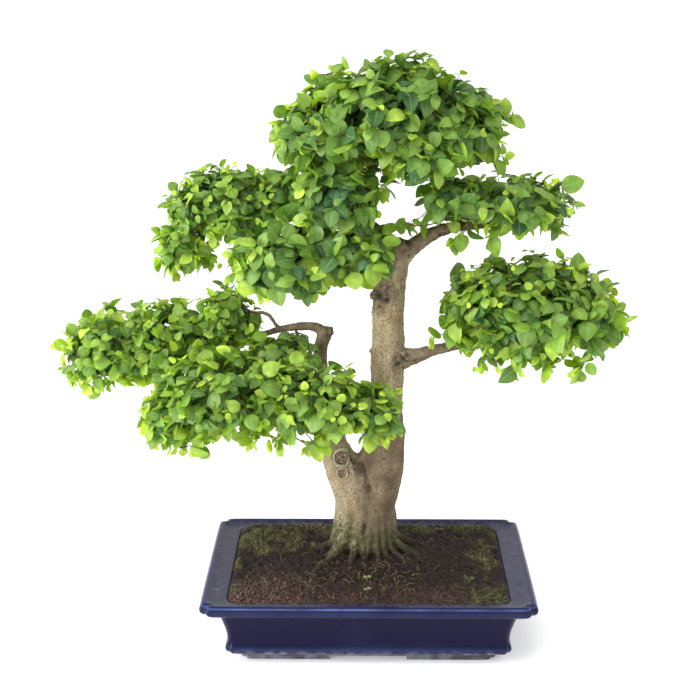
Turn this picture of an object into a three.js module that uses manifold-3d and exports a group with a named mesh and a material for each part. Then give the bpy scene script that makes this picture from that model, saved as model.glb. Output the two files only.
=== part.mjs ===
// Privet bonsai in its glazed tray pot, in millimetres.
// +Z is up, +X is to the right and -Y faces the viewer. Places are measured from the middle
// of the pot at the height of its feet, and the finished groups are centred at the end.
import * as THREE from "three";
import { mergeVertices } from "three/addons/utils/BufferGeometryUtils.js";
import Module from "manifold-3d";

const wasm = await Module();
wasm.setup();
const { Manifold } = wasm;

// Driving dimensions
const RIM_WIDTH = 352;
const RIM_DEPTH = 254;
const RIM_TOP = 77;
const FLANGE_HEIGHT = 73;
const CAVITY_WIDTH = 297;
const CAVITY_DEPTH = 207;
const FOOT_HEIGHT = 5;
const FRONT_ARCH = 82; // width of the gap between the feet, at the front and the back
const SIDE_ARCH = 60;
const FLOOR_UNDERSIDE = 6;
const FLOOR_TOP = 16;
const CORNER_CUT = 15;
const CORNER_BUMP = 3.6;
const DRAIN_SPACING = 140;
const DRAIN_DIAMETER = 14;
const SCREEN_BAR = 1.5;
const SCREEN_PITCH = 6.5;
const SCREEN_CELLS = 3;
const SCREEN_THICKNESS = 1;
const SOIL_EDGE = 71;
const SOIL_CROWN = 86;
const GAP = 0.35; // kept between pieces that touch
const LEAF_LENGTH = 36; // larger than life, so that a few hundred leaves clothe the tree
const LEAF_WIDTH = 29;
const LEAF_THICKNESS = 1.8; // at the midrib, thinning to the edge
const LEAF_ROOT = 7; // sunk in the twiggy core of its pad
const LEAF_SPACING = 26;
const LEAF_DEPTH = 0.96; // share of the core's half-length at which a leaf's stalk starts
const LEAF_LOWEST = -0.86; // below this share of a lobe's drop its underside is bare
const LEAF_LIFT = { mean: 38, byHeight: 16, spread: 24 }; // degrees out of the core's surface
const LEAF_TURN = 1.6; // spread of a leaf's bearing, in radians
const LEAF_ROLL = 0.7; // spread of its turn about its own midrib, in radians
const LEAF_SCALE = { least: 0.84, spread: 0.3 };
const LEAF_TRIES = 6; // turns that a leaf is given to stay clear of the others
const LEAF_SEED = 7;
const CORE_INSET = { side: 19, up: 14, down: 10 }; // from a lobe's outline to its core
const CORE_LEAST = 0.5; // share of a lobe that its core fills at least
const BRIDGE_GIRTH = 0.8; // of the slimmer lobe, for the core between two lobes that stand apart
const BRIDGE_REACH = 0.85; // depth in a core past which the halfway point needs a bridge

// Finishes
const GLAZE = { color: 0x2b2d58, roughness: 0.22, metalness: 0 };
const SOIL = { color: 0x3d2c22, roughness: 0.95, metalness: 0 };
const BARK = { color: 0xa2937f, roughness: 0.8, metalness: 0 };
const LEAF = { color: 0x6d9a35, roughness: 0.5, metalness: 0 };
const SCREEN = { color: 0x2a2c2b, roughness: 0.6, metalness: 0 };

// Limbs, as [x, y, z, radius] from root to tip. The first two are the twin stems of the trunk.
const LIMBS = {
  trunk: [
    [-3, 26, 64, 40], [-2, 25, 90, 37], [2, 24, 108, 31.5], [3, 22, 138, 27.5], [11, 18, 168, 26],
    [14, 17, 190, 26], [17, 15, 214, 21.5], [19, 13, 248, 17.8], [20, 11, 326, 17.6], [20, 10, 368, 17],
    [25, 8, 418, 17.4], [28, 8, 436, 13.6],
  ],
  leftStem: [
    [-18, 22, 84, 27], [-18, 20, 110, 21], [-18, 17, 146, 19.8], [-27, 14, 174, 19.2], [-33, 12, 192, 18],
    [-35, 10, 208, 12], [-40, 10, 238, 8.5], [-51, 12, 290, 7.9], [-51, 12, 322, 7.6], [-46, 12, 335, 6.9],
  ],
  farLeftUpper: [
    [-47, 12, 333, 6.1], [-57, 13, 339, 5.1], [-76, 16, 339, 4.5], [-122, 24, 326, 3], [-186, 30, 311, 2.4],
  ],
  farLeftLower: [
    [-41, 10, 244, 7.6], [-76, 12, 249, 5.4], [-156, 18, 264, 3.8], [-201, 22, 272, 3.3],
    [-248, 26, 285, 2.6],
  ],
  nearLeft: [[-34, 6, 210, 9.8], [-52, -25, 234, 6.4], [-82, -50, 251, 4.7], [-118, -58, 258, 3.6]],
  nearLeftFork: [[-52, -26, 235, 4.8], [-39, -50, 255, 3.2], [-24, -59, 264, 2.6]],
  lowerRight: [
    [22, 10, 301, 11.8], [36, 8, 306, 10.8], [51, 6, 310, 8.4], [67, 4, 316, 6.1], [110, 2, 326, 4.4],
  ],
  upperRight: [
    [28, 8, 410, 11.5], [47, 4, 430, 8.8], [77, 0, 448, 6.3], [113, 2, 453, 5.2], [157, 6, 459, 4.2],
    [176, 8, 466, 3],
  ],
  leader: [
    [26, 8, 414, 13.7], [17, 8, 432, 11], [7, 7, 443, 8.9], [-4, 6, 454, 7.8], [-8, 6, 469, 6.8],
    [-4, 6, 493, 6.2], [6, 8, 520, 5.2], [13, 10, 550, 3.8],
  ],
  upperLeft: [
    [-4, 6, 454, 6.3], [-14, 11, 460, 5.2], [-28, 18, 462, 4.5], [-68, 36, 457, 3.7], [-128, 48, 442, 2.8],
    [-156, 50, 436, 2.5],
  ],
  crownLeft: [[-7, 5, 468, 5.5], [-14, -8, 481, 3.8], [-23, -28, 492, 2.7]],
  middleLeft: [
    [17, 4, 380, 9], [4, -7, 398, 7.5], [-10, -21, 407, 5.7], [-30, -34, 414, 4.6], [-61, -40, 415, 3.4],
  ],
};
const THICK_LIMB = 12; // radius over which a limb gets the finer section
const COARSE_SIDES = 5;
const FINE_SIDES = 11;

// Knots, pruning scars and the rough collar on the bark, as [x, y, z, radius]
const KNOTS = [
  [-28, -2, 195, 8.5], [-29, -1, 178, 6.5], [5, 0, 364, 8], [5, 6, 378, 8], [4, 4, 318, 6],
  [-43, 9, 333, 8], [14, -4, 400, 7],
];
const LARGE_KNOT = 8; // radius from which a knot is rounder

// Surface roots, as [bearing in degrees, reach from the trunk's middle, radius at the trunk]
const ROOTS = [
  [18, 66, 11], [78, 60, 10], [132, 62, 11], [182, 62, 11], [229, 88, 10], [254, 58, 9], [306, 62, 10],
  [334, 72, 10],
];
const ROOT_MIDDLE = [-3, 24];
const ROOT_TWIST = 0.25; // radians that a root turns by over its reach
// A root's course from trunk to tip, as [share of its reach, height, share of its radius]
const ROOT_COURSE = [[0.25, 104, 1.1], [0.52, 88, 1], [0.76, 80, 0.72], [1, 70, 0.35]];

// Pads of foliage, each of one or more lobes: middle, half-widths in X and Y, rise and drop
const PADS = {
  foliage_crown: [
    { at: [22, 12, 563], rx: 105, ry: 95, up: 65, down: 48 },
    { at: [-53, 6, 551], rx: 47, ry: 62, up: 40, down: 36 },
    { at: [97, 14, 551], rx: 45, ry: 66, up: 43, down: 37 },
    { at: [55, -25, 525], rx: 42, ry: 54, up: 22, down: 24 },
  ],
  foliage_crown_left: [{ at: [-30, -34, 492], rx: 50, ry: 46, up: 31, down: 38 }],
  foliage_right_upper: [
    { at: [148, 12, 472], rx: 67, ry: 58, up: 30, down: 33 },
    { at: [84, -2, 484], rx: 38, ry: 44, up: 22, down: 26 },
  ],
  foliage_left_upper: [
    { at: [-151, 52, 463], rx: 70, ry: 60, up: 44, down: 37 },
    { at: [-200, 40, 427], rx: 30, ry: 44, up: 31, down: 32 },
    { at: [-97, 46, 476], rx: 38, ry: 46, up: 26, down: 29 },
  ],
  foliage_left_middle: [
    { at: [-88, -40, 422], rx: 57, ry: 54, up: 42, down: 38 },
    { at: [-23, -42, 429], rx: 48, ry: 40, up: 32, down: 29 },
  ],
  foliage_right_lower: [
    { at: [170, 8, 355], rx: 76, ry: 76, up: 62, down: 54 },
    { at: [111, -4, 360], rx: 43, ry: 56, up: 42, down: 42 },
    { at: [238, 12, 345], rx: 40, ry: 56, up: 38, down: 38 },
  ],
  foliage_left_lower_far: [
    { at: [-215, 32, 318], rx: 60, ry: 54, up: 44, down: 42 },
    { at: [-280, 30, 308], rx: 55, ry: 52, up: 42, down: 42 },
    { at: [-154, 30, 341], rx: 36, ry: 44, up: 31, down: 33 },
  ],
  foliage_left_lower_near: [
    { at: [-148, -62, 284], rx: 76, ry: 56, up: 46, down: 49 },
    { at: [-208, -60, 261], rx: 34, ry: 44, up: 30, down: 29 },
    { at: [-62, -64, 283], rx: 61, ry: 50, up: 40, down: 47 },
    { at: [-3, -66, 277], rx: 37, ry: 38, up: 27, down: 27 },
    { at: [-90, -24, 320], rx: 42, ry: 30, up: 24, down: 26 },
  ],
};

const UPWARDS = new THREE.Vector3(0, 0, 1);
const BACKWARDS = new THREE.Vector3(0, 1, 0);

// The same draw each time, from a seed
function seededRandom(seed) {
  let state = seed;
  return () => {
    state = (state + 0x6d2b79f5) | 0;
    let mixed = Math.imul(state ^ (state >>> 15), 1 | state);
    mixed = (mixed + Math.imul(mixed ^ (mixed >>> 7), 61 | mixed)) ^ mixed;
    return ((mixed ^ (mixed >>> 14)) >>> 0) / 4294967296;
  };
}

// A closed mesh as a solid that can be joined and cut
function solidFrom(geometry) {
  const bare = geometry.clone();
  bare.deleteAttribute("normal");
  bare.deleteAttribute("uv");
  const merged = mergeVertices(bare, 1e-4);
  return new Manifold(new wasm.Mesh({
    numProp: 3,
    vertProperties: merged.attributes.position.array,
    triVerts: new Uint32Array(merged.index.array),
  }));
}

// A solid as a mesh's geometry
function geometryFrom(solid) {
  const mesh = solid.getMesh();
  const geometry = new THREE.BufferGeometry();
  geometry.setAttribute("position", new THREE.BufferAttribute(new Float32Array(mesh.vertProperties), 3));
  geometry.setIndex(new THREE.BufferAttribute(mesh.triVerts, 1));
  geometry.computeVertexNormals();
  return geometry;
}

function geometryOfTriangles(points, triangles) {
  const geometry = new THREE.BufferGeometry();
  geometry.setAttribute("position", new THREE.Float32BufferAttribute(points.flat(), 3));
  geometry.setIndex(triangles.flat());
  return geometry;
}

// A skin through rings of equally many points, closed at both ends on a middle point.
// Each ring runs anticlockwise seen from the side that the next ring lies on.
function loft(rings, firstMiddle, lastMiddle) {
  const count = rings[0].length;
  const points = [firstMiddle, ...rings.flat(), lastMiddle];
  const index = (ring, k) => 1 + ring * count + (k % count);
  const triangles = [];
  for (let k = 0; k < count; k += 1) {
    triangles.push([0, index(0, k + 1), index(0, k)]);
    triangles.push([points.length - 1, index(rings.length - 1, k), index(rings.length - 1, k + 1)]);
    for (let ring = 0; ring < rings.length - 1; ring += 1) {
      triangles.push([index(ring, k), index(ring, k + 1), index(ring + 1, k + 1)]);
      triangles.push([index(ring, k), index(ring + 1, k + 1), index(ring + 1, k)]);
    }
  }
  return geometryOfTriangles(points, triangles);
}

// One corner of the tray in plan, from along the side to along the end, for the corner at +X +Y.
// A notched corner is cut off and carries two small humps, a round one is a quarter circle.
const CORNER_STEPS = [0, 1 / 4, 1 / 2, 3 / 4, 1];
function cornerPoints(cut, notched) {
  return CORNER_STEPS.map((t) => {
    if (!notched) return [cut * (Math.cos((t * Math.PI) / 2) - 1), cut * (Math.sin((t * Math.PI) / 2) - 1)];
    const bump = (CORNER_BUMP * Math.sin(2 * Math.PI * t) ** 2 * cut) / CORNER_CUT / Math.SQRT2;
    return [-cut * t + bump, -cut * (1 - t) + bump];
  });
}

// The tray's outline at one height, anticlockwise seen from above
function trayRing(halfX, halfY, z, cut, notched) {
  const corner = cornerPoints(cut, notched);
  const mirrored = [...corner].reverse();
  return [
    ...corner.map(([x, y]) => [halfX + x, halfY + y, z]),
    ...mirrored.map(([x, y]) => [-halfX - x, halfY + y, z]),
    ...corner.map(([x, y]) => [-halfX - x, -halfY - y, z]),
    ...mirrored.map(([x, y]) => [halfX + x, -halfY - y, z]),
  ];
}

// The tray pot: feet, foot band, flared wall, rolled rim, dished flange and cavity in one piece.
// Its section is followed from the underside outwards, over the rim and down into the cavity.
function makePot() {
  const [rimX, rimY] = [RIM_WIDTH / 2, RIM_DEPTH / 2];
  const notched = (inset, z, cut) => trayRing(rimX - inset, rimY - inset, z, cut, true);
  const round = (inset, z, cut) => trayRing(rimX - inset, rimY - inset, z, cut, false);
  const cavity = (inset, z, cut) => (
    trayRing(CAVITY_WIDTH / 2 - inset, CAVITY_DEPTH / 2 - inset, z, cut, false)
  );
  const section = {
    underside: round(56, FLOOR_UNDERSIDE, 10),
    footInside: round(56, 0, 10),
    footOutside: notched(40, 0, 12),
    footTop: notched(39, 11, 12),
    bandUnderside: notched(29, 11.5, 13),
    bandMiddle: notched(24.5, 17.5, 14),
    neck: round(27, 25.5, 9),
    wall: round(23, 46, 9),
    wallTop: round(17, 63.5, 9),
    rimUnderside: notched(6, 64.5, 15),
    rimEdge: notched(0, 70.5, CORNER_CUT),
    beadShoulder: notched(3, RIM_TOP - 1, CORNER_CUT),
    beadTop: round(6.5, RIM_TOP, 18),
    beadInside: round(10.5, FLANGE_HEIGHT + 1, 18),
    flangeInside: cavity(-3, FLANGE_HEIGHT, 14),
    cavityTop: cavity(0, SOIL_EDGE, 13),
    cavityFoot: cavity(6, FLOOR_TOP + 5, 10),
    floor: cavity(10, FLOOR_TOP, 8),
  };
  const body = solidFrom(loft(Object.values(section), [0, 0, FLOOR_UNDERSIDE], [0, 0, FLOOR_TOP]));
  const frontArch = new THREE.BoxGeometry(FRONT_ARCH, RIM_DEPTH, 2 * FOOT_HEIGHT);
  const sideArch = new THREE.BoxGeometry(RIM_WIDTH, SIDE_ARCH, 2 * FOOT_HEIGHT);
  const drains = [-1, 1].map((side) => {
    const hole = new THREE.CylinderGeometry(DRAIN_DIAMETER / 2, DRAIN_DIAMETER / 2, 3 * FLOOR_TOP, 12);
    return hole.rotateX(Math.PI / 2).translate((side * DRAIN_SPACING) / 2, 0, FLOOR_TOP);
  });
  return body.subtract(Manifold.union([frontArch, sideArch, ...drains].map(solidFrom)));
}

const screenSide = SCREEN_CELLS * SCREEN_PITCH + SCREEN_BAR;

// A square of plastic netting, which keeps the soil in over a drain hole
function makeScreen() {
  const bars = [];
  for (let bar = 0; bar <= SCREEN_CELLS; bar += 1) {
    const shift = (bar - SCREEN_CELLS / 2) * SCREEN_PITCH;
    bars.push(new THREE.BoxGeometry(SCREEN_BAR, screenSide, SCREEN_THICKNESS).translate(shift, 0, 0));
    bars.push(new THREE.BoxGeometry(screenSide, SCREEN_BAR, SCREEN_THICKNESS).translate(0, shift, 0));
  }
  return Manifold.union(bars.map(solidFrom));
}

// A round, tapering limb through its stations, thickened by extra all over.
// Its sections are turned to face along the limb, with one side towards the reference.
function makeLimb(stations, extra, reference) {
  const middles = stations.map(([x, y, z]) => new THREE.Vector3(x, y, z));
  const last = stations.length - 1;
  const thick = stations.some((station) => station[3] > THICK_LIMB);
  const sides = thick ? FINE_SIDES : COARSE_SIDES;
  const heading = (k) => middles[Math.min(k + 1, last)].clone().sub(middles[Math.max(k - 1, 0)]).normalize();
  const rings = stations.map((station, k) => {
    const radius = station[3] + extra / Math.cos(Math.PI / sides);
    const across = new THREE.Vector3().crossVectors(heading(k), reference).normalize();
    const upper = new THREE.Vector3().crossVectors(across, heading(k));
    return Array.from({ length: sides }, (_, side) => {
      const angle = (2 * Math.PI * side) / sides;
      const point = middles[k].clone().addScaledVector(upper, radius * Math.cos(angle));
      return point.addScaledVector(across, radius * Math.sin(angle)).toArray();
    });
  });
  const start = middles[0].clone().addScaledVector(heading(0), -extra);
  const end = middles[last].clone().addScaledVector(heading(last), extra);
  return solidFrom(loft(rings, start.toArray(), end.toArray()));
}

// A surface root that leaves the trunk's foot and dives into the soil
function rootStations([bearing, reach, radius]) {
  return ROOT_COURSE.map(([share, z, girth]) => {
    const turn = THREE.MathUtils.degToRad(bearing) + ROOT_TWIST * share;
    const distance = reach * share;
    return [
      ROOT_MIDDLE[0] + distance * Math.cos(turn),
      ROOT_MIDDLE[1] + distance * Math.sin(turn),
      z,
      radius * girth,
    ];
  });
}

// The whole tree without its leaves, thickened by extra all over
function makeWood(extra) {
  const pieces = Object.values(LIMBS).map((stations) => makeLimb(stations, extra, BACKWARDS));
  pieces.push(...ROOTS.map((root) => makeLimb(rootStations(root), extra, UPWARDS)));
  for (const [x, y, z, radius] of KNOTS) {
    const knot = new THREE.IcosahedronGeometry(radius + 1.3 * extra, radius < LARGE_KNOT ? 0 : 1);
    pieces.push(solidFrom(knot.translate(x, y, z)));
  }
  return Manifold.union(pieces);
}

// The root ball and its mounded top, filling the cavity round the wood and over the screens
function makeSoil(woodRoom) {
  const bottom = FLOOR_TOP + GAP;
  const rise = SOIL_CROWN - SOIL_EDGE;
  const level = (inset, z, cut) => (
    trayRing(CAVITY_WIDTH / 2 - inset - GAP, CAVITY_DEPTH / 2 - inset - GAP, z, cut, false)
  );
  const section = {
    underside: level(10.2, bottom, 8),
    cavityFoot: level(6.2, FLOOR_TOP + 5.3, 10),
    edge: level(0, SOIL_EDGE - 0.6, 13),
    bankFoot: level(5, SOIL_EDGE + 0.16 * rise, 16),
    bank: level(28, SOIL_EDGE + 0.5 * rise, 26),
    shoulder: level(52, SOIL_EDGE + 0.85 * rise, 30),
    crown: level(80, SOIL_CROWN, 10),
  };
  const mound = solidFrom(loft(Object.values(section), [0, 0, bottom], [0, 0, SOIL_CROWN]));
  const roomSide = screenSide + 2 * GAP;
  const screenRooms = [-1, 1].map((side) => {
    const room = new THREE.BoxGeometry(roomSide, roomSide, 2 * (SCREEN_THICKNESS + 2 * GAP));
    return solidFrom(room.translate((side * DRAIN_SPACING) / 2, 0, FLOOR_TOP));
  });
  return mound.subtract(Manifold.union([woodRoom, ...screenRooms]));
}

// One privet leaf: oval with a pointed tip, folded along its midrib and drooping at the tip.
// It runs along +X from its stalk, with its upper face to +Z, and both faces meet at its edge.
function makeLeafGeometry(length, width) {
  const outline = [
    [-LEAF_ROOT, 0, 0],
    [0.36 * length, -0.5 * width, 1.6],
    [0.7 * length, -0.36 * width, 0.9],
    [length, 0, -3.5],
    [0.7 * length, 0.36 * width, 0.9],
    [0.36 * length, 0.5 * width, 1.6],
  ];
  const middle = outline.length;
  const midribHeight = -0.4;
  const points = [...outline];
  for (const side of [0.5, -0.5]) points.push([0.46 * length, 0, midribHeight + side * LEAF_THICKNESS]);
  const triangles = [];
  for (let k = 0; k < outline.length; k += 1) {
    const next = (k + 1) % outline.length;
    triangles.push([middle, k, next], [middle + 1, next, k]);
  }
  return geometryOfTriangles(points, triangles);
}

const coreRadius = (radius, inset) => Math.max(radius - inset, CORE_LEAST * radius);

// The half-lengths of a lobe's core along X, Y and Z in one direction
function coreSize(lobe, upwards) {
  return new THREE.Vector3(
    coreRadius(lobe.rx, CORE_INSET.side),
    coreRadius(lobe.ry, CORE_INSET.side),
    upwards ? coreRadius(lobe.up, CORE_INSET.up) : coreRadius(lobe.down, CORE_INSET.down),
  );
}

// The twiggy middle of a lobe, flatter below than above
function makeLobeCore(lobe, detail) {
  const core = new THREE.IcosahedronGeometry(1, detail);
  const position = core.getAttribute("position");
  const point = new THREE.Vector3();
  for (let i = 0; i < position.count; i += 1) {
    point.fromBufferAttribute(position, i);
    point.multiply(coreSize(lobe, point.z > 0)).add(new THREE.Vector3(...lobe.at));
    position.setXYZ(i, point.x, point.y, point.z);
  }
  return solidFrom(core);
}

// How far a point lies out from the middle of a lobe's core, 1 being on its surface
function depthInCore(point, lobe) {
  const from = point.clone().sub(new THREE.Vector3(...lobe.at));
  return from.clone().divide(coreSize(lobe, from.z > 0)).length();
}

const AREA_POWER = 1.6; // gives the area of an ellipsoid within a few per cent

// Places set evenly over one lobe where leaves stand, each with the way out from there
function leafPlaces(lobe, otherLobes) {
  const [a, b, rise] = coreSize(lobe, true).toArray();
  const c = (rise + coreSize(lobe, false).z) / 2;
  const meanOf = (...sections) => (
    (sections.reduce((sum, section) => sum + section ** AREA_POWER, 0) / sections.length) ** (1 / AREA_POWER)
  );
  const area = 4 * Math.PI * meanOf(a * b, a * c, b * c);
  const count = Math.round(area / LEAF_SPACING ** 2);
  const golden = Math.PI * (3 - Math.sqrt(5));
  const places = [];
  for (let k = 0; k < count; k += 1) {
    const level = 1 - (2 * k + 1) / count;
    const flat = Math.sqrt(1 - level * level);
    const bearing = golden * k;
    const direction = new THREE.Vector3(flat * Math.cos(bearing), flat * Math.sin(bearing), level);
    const size = coreSize(lobe, level > 0);
    const foot = direction.clone().multiply(size).multiplyScalar(LEAF_DEPTH);
    foot.add(new THREE.Vector3(...lobe.at));
    if (level < LEAF_LOWEST || otherLobes.some((other) => depthInCore(foot, other) < 1)) continue;
    places.push({ foot, level, bearing, outwards: direction.clone().divide(size).normalize() });
  }
  return places;
}

// A leaf at one place, its tip outwards and hanging more towards the rim, with a turn of its own
function makeLeaf({ foot, level, bearing, outwards }, random) {
  const spread = (range) => range * (random() - 0.5);
  const turned = bearing + spread(LEAF_TURN);
  const lift = THREE.MathUtils.degToRad(
    LEAF_LIFT.mean + LEAF_LIFT.byHeight * level + spread(LEAF_LIFT.spread),
  );
  const scale = LEAF_SCALE.least + LEAF_SCALE.spread * random();
  const along = new THREE.Vector3(Math.cos(turned), Math.sin(turned), level > 0.3 ? 0.15 : -0.35);
  along.addScaledVector(outwards, -along.dot(outwards)).normalize();
  along.multiplyScalar(Math.cos(lift)).addScaledVector(outwards, Math.sin(lift)).normalize();
  const across = new THREE.Vector3().crossVectors(outwards, along).normalize();
  across.applyAxisAngle(along, spread(LEAF_ROLL));
  const upper = new THREE.Vector3().crossVectors(along, across).normalize();
  const placing = new THREE.Matrix4().makeBasis(along, across, upper).setPosition(foot);
  return solidFrom(makeLeafGeometry(LEAF_LENGTH * scale, LEAF_WIDTH * scale).applyMatrix4(placing));
}

// A small core halfway between two lobes whose own cores don't reach each other
function bridgeLobe(first, second) {
  const slim = (key) => BRIDGE_GIRTH * Math.min(first[key], second[key]);
  const at = first.at.map((value, axis) => (value + second.at[axis]) / 2);
  const bridge = { at, rx: slim("rx"), ry: slim("ry"), up: slim("up"), down: slim("down") };
  const halfway = new THREE.Vector3(...at);
  const depth = Math.min(depthInCore(halfway, first), depthInCore(halfway, second));
  return depth < BRIDGE_REACH ? null : bridge;
}

// One pad: its cores, and the leaves that stand out of them clear of each other, of the wood
// and of the other pads
function makePad(lobes, woodRoom, neighbours, random) {
  const bridges = lobes.slice(1).map((lobe) => bridgeLobe(lobes[0], lobe)).filter(Boolean);
  const cores = [
    ...lobes.map((lobe) => makeLobeCore(lobe, 1)),
    ...bridges.map((bridge) => makeLobeCore(bridge, 0)),
  ];
  const leaves = [];
  const isClear = (leaf, place) => (
    leaf.intersect(woodRoom).isEmpty()
    && neighbours.every((pad) => leaf.minGap(pad, 2 * GAP) > GAP)
    && leaves.every((other) => (
      other.place.foot.distanceTo(place.foot) > 2 * LEAF_LENGTH || leaf.intersect(other.solid).isEmpty()
    ))
  );
  for (const lobe of lobes) {
    for (const place of leafPlaces(lobe, lobes.filter((other) => other !== lobe))) {
      for (let attempt = 0; attempt < LEAF_TRIES; attempt += 1) {
        const solid = makeLeaf(place, random);
        if (!isClear(solid, place)) continue;
        leaves.push({ place, solid });
        break;
      }
    }
  }
  const core = Manifold.union(cores).subtract(woodRoom);
  const whole = Manifold.union([core, ...leaves.map((leaf) => leaf.solid)]).simplify(0.01);
  return whole.decompose().reduce((best, piece) => (piece.volume() > best.volume() ? piece : best));
}

// A named mesh with a finish of its own
function namedMesh(name, solid, finish) {
  const mesh = new THREE.Mesh(geometryFrom(solid), new THREE.MeshStandardMaterial(finish));
  mesh.name = name;
  return mesh;
}

const wood = makeWood(0);
const woodRoom = makeWood(GAP);

const filledPot = new THREE.Group();
filledPot.add(namedMesh("pot", makePot(), GLAZE));
filledPot.add(namedMesh("soil", makeSoil(woodRoom), SOIL));
for (const [end, side] of [["left", -1], ["right", 1]]) {
  const screen = namedMesh(`drain_screen_${end}`, makeScreen(), SCREEN);
  screen.position.set((side * DRAIN_SPACING) / 2, 0, FLOOR_TOP + GAP + SCREEN_THICKNESS / 2);
  filledPot.add(screen);
}

const tree = new THREE.Group();
tree.add(namedMesh("tree_wood", wood, BARK));
const random = seededRandom(LEAF_SEED);
const pads = [];
for (const [name, lobes] of Object.entries(PADS)) {
  const pad = makePad(lobes, woodRoom, pads, random);
  pads.push(pad);
  tree.add(namedMesh(name, pad, LEAF));
}

// The origin lies under the middle of the whole outline, on the surface that the pot stands on
const bonsai = new THREE.Group();
bonsai.add(filledPot, tree);
const box = new THREE.Box3().setFromObject(bonsai);
for (const group of [filledPot, tree]) {
  group.position.set(-(box.min.x + box.max.x) / 2, -(box.min.y + box.max.y) / 2, -box.min.z);
}
export default bonsai;
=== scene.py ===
"""The looks of a privet bonsai in its glazed tray pot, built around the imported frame.

Every shape is worked out in millimetres from the middle of the pot at the height of its feet,
with +X to the right, +Y away from the viewer and +Z up. settle() carries a finished mesh into
the frame's metres.
"""

import logging
import math
from dataclasses import dataclass
from enum import Enum
from typing import Any, ClassVar, Iterable, Sequence

import bpy
import numpy as np
from bpy.types import Material, Node, NodeSocket, NodeTree, Object
from mathutils import Matrix, Vector, noise
from mathutils.kdtree import KDTree


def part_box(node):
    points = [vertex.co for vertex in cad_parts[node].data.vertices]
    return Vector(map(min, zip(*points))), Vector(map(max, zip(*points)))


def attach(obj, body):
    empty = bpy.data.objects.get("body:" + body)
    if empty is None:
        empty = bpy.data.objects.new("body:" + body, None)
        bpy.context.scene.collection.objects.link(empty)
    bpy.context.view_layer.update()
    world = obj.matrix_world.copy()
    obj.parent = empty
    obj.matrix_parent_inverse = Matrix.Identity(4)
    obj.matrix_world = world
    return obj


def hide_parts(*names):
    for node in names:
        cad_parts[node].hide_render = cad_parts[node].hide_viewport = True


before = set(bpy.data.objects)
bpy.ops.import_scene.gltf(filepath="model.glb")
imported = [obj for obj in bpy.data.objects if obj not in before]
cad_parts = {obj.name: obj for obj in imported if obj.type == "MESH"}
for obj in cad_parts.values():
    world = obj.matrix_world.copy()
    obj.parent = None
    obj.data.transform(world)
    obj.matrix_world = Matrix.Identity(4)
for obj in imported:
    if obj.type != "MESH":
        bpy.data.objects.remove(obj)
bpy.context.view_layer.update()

MM = 0.001
ROOT_BODY = "root"
log = logging.getLogger("bonsai")

# A station of a limb is its place and its radius
Station = tuple[float, float, float, float]
Array = np.ndarray
# A blade is its points, its faces by number of corners, and how far each point lies along
# it and aside
Blade = tuple[Array, list[Array], Array, Array]


def middle_of(node: str) -> Vector:
    """Find the middle of a node's box in plan, at the node's lowest level.

    Args:
        node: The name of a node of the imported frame.

    Returns:
        The point in the frame's metres.
    """
    low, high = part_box(node)
    return Vector(((low.x + high.x) / 2, (low.y + high.y) / 2, low.z))


POT_MIDDLE = middle_of("pot")
GOLDEN_ANGLE = math.pi * (3 - math.sqrt(5))


def linear(hex_colour: str) -> tuple[float, float, float, float]:
    """Turn an sRGB hex colour into a linear one.

    Args:
        hex_colour: Six hex digits, such as "a0b0c0".

    Returns:
        Linear red, green and blue, and an alpha of 1.
    """
    parts = [int(hex_colour[i:i + 2], 16) / 255 for i in (0, 2, 4)]
    red, green, blue = (p / 12.92 if p <= 0.04045 else ((p + 0.055) / 1.055) ** 2.4 for p in parts)
    return red, green, blue, 1.0


def per_feature(size: float) -> float:
    """Give the texture scale at which a feature is size millimetres across."""
    return 1 / (size * MM)


# Input sockets of the Mix node when it mixes colours, which share their names with others
SHARE, FIRST, SECOND = 0, 6, 7


def connect(tree: NodeTree, node: Node, inputs: dict[Any, Any]) -> None:
    """Set or link input sockets of a node.

    Args:
        tree: The material's node tree.
        node: The node.
        inputs: For each socket, by name or number, a value, a hex colour, a socket to link, or
            a node to link by its first output in use.
    """
    for name, value in inputs.items():
        if isinstance(value, Node):
            value = next(socket for socket in value.outputs if socket.enabled)
        if isinstance(value, NodeSocket):
            tree.links.new(value, node.inputs[name])
        else:
            node.inputs[name].default_value = linear(value) if isinstance(value, str) else value


def add_node(tree: NodeTree, kind: str, inputs: dict[Any, Any] | None = None,
             **settings: Any) -> Node:
    """Add one shader node, set it up and link it.

    Args:
        tree: The material's node tree.
        kind: The node's type name, less its "ShaderNode".
        inputs: The input sockets, as connect takes them.
        **settings: The node's own properties.

    Returns:
        The new node.
    """
    node = tree.nodes.new("ShaderNode" + kind)
    for name, value in settings.items():
        setattr(node, name, value)
    connect(tree, node, inputs or {})
    return node


def noise_at(points: Array, size: float, octaves: int = 1, shift: float = 0.0) -> Array:
    """Sample smooth noise of about -1 to 1 at many points.

    Args:
        points: Points in millimetres, one in each row.
        size: How many millimetres a feature measures.
        octaves: How many finer layers are added.
        shift: Moves the noise, for a pattern of its own.

    Returns:
        One value for each point.
    """
    scaled = np.asarray(points, float) / size + shift
    return np.array([noise.fractal(Vector(row), 1.0, 2.0, octaves) for row in scaled])


def smooth_step(value: Array, low: float, high: float) -> Array:
    """Rise smoothly from 0 at low to 1 at high."""
    share = np.clip((np.asarray(value, float) - low) / (high - low), 0, 1)
    return share * share * (3 - 2 * share)


def unit(vectors: Array) -> Array:
    """Scale each vector to a length of one."""
    return vectors / np.maximum(np.linalg.norm(vectors, axis=-1, keepdims=True), 1e-9)


def pick(piece: Object) -> None:
    """Select and activate one object alone.

    Args:
        piece: The object.
    """
    bpy.ops.object.select_all(action="DESELECT")
    piece.select_set(True)
    bpy.context.view_layer.objects.active = piece


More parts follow.
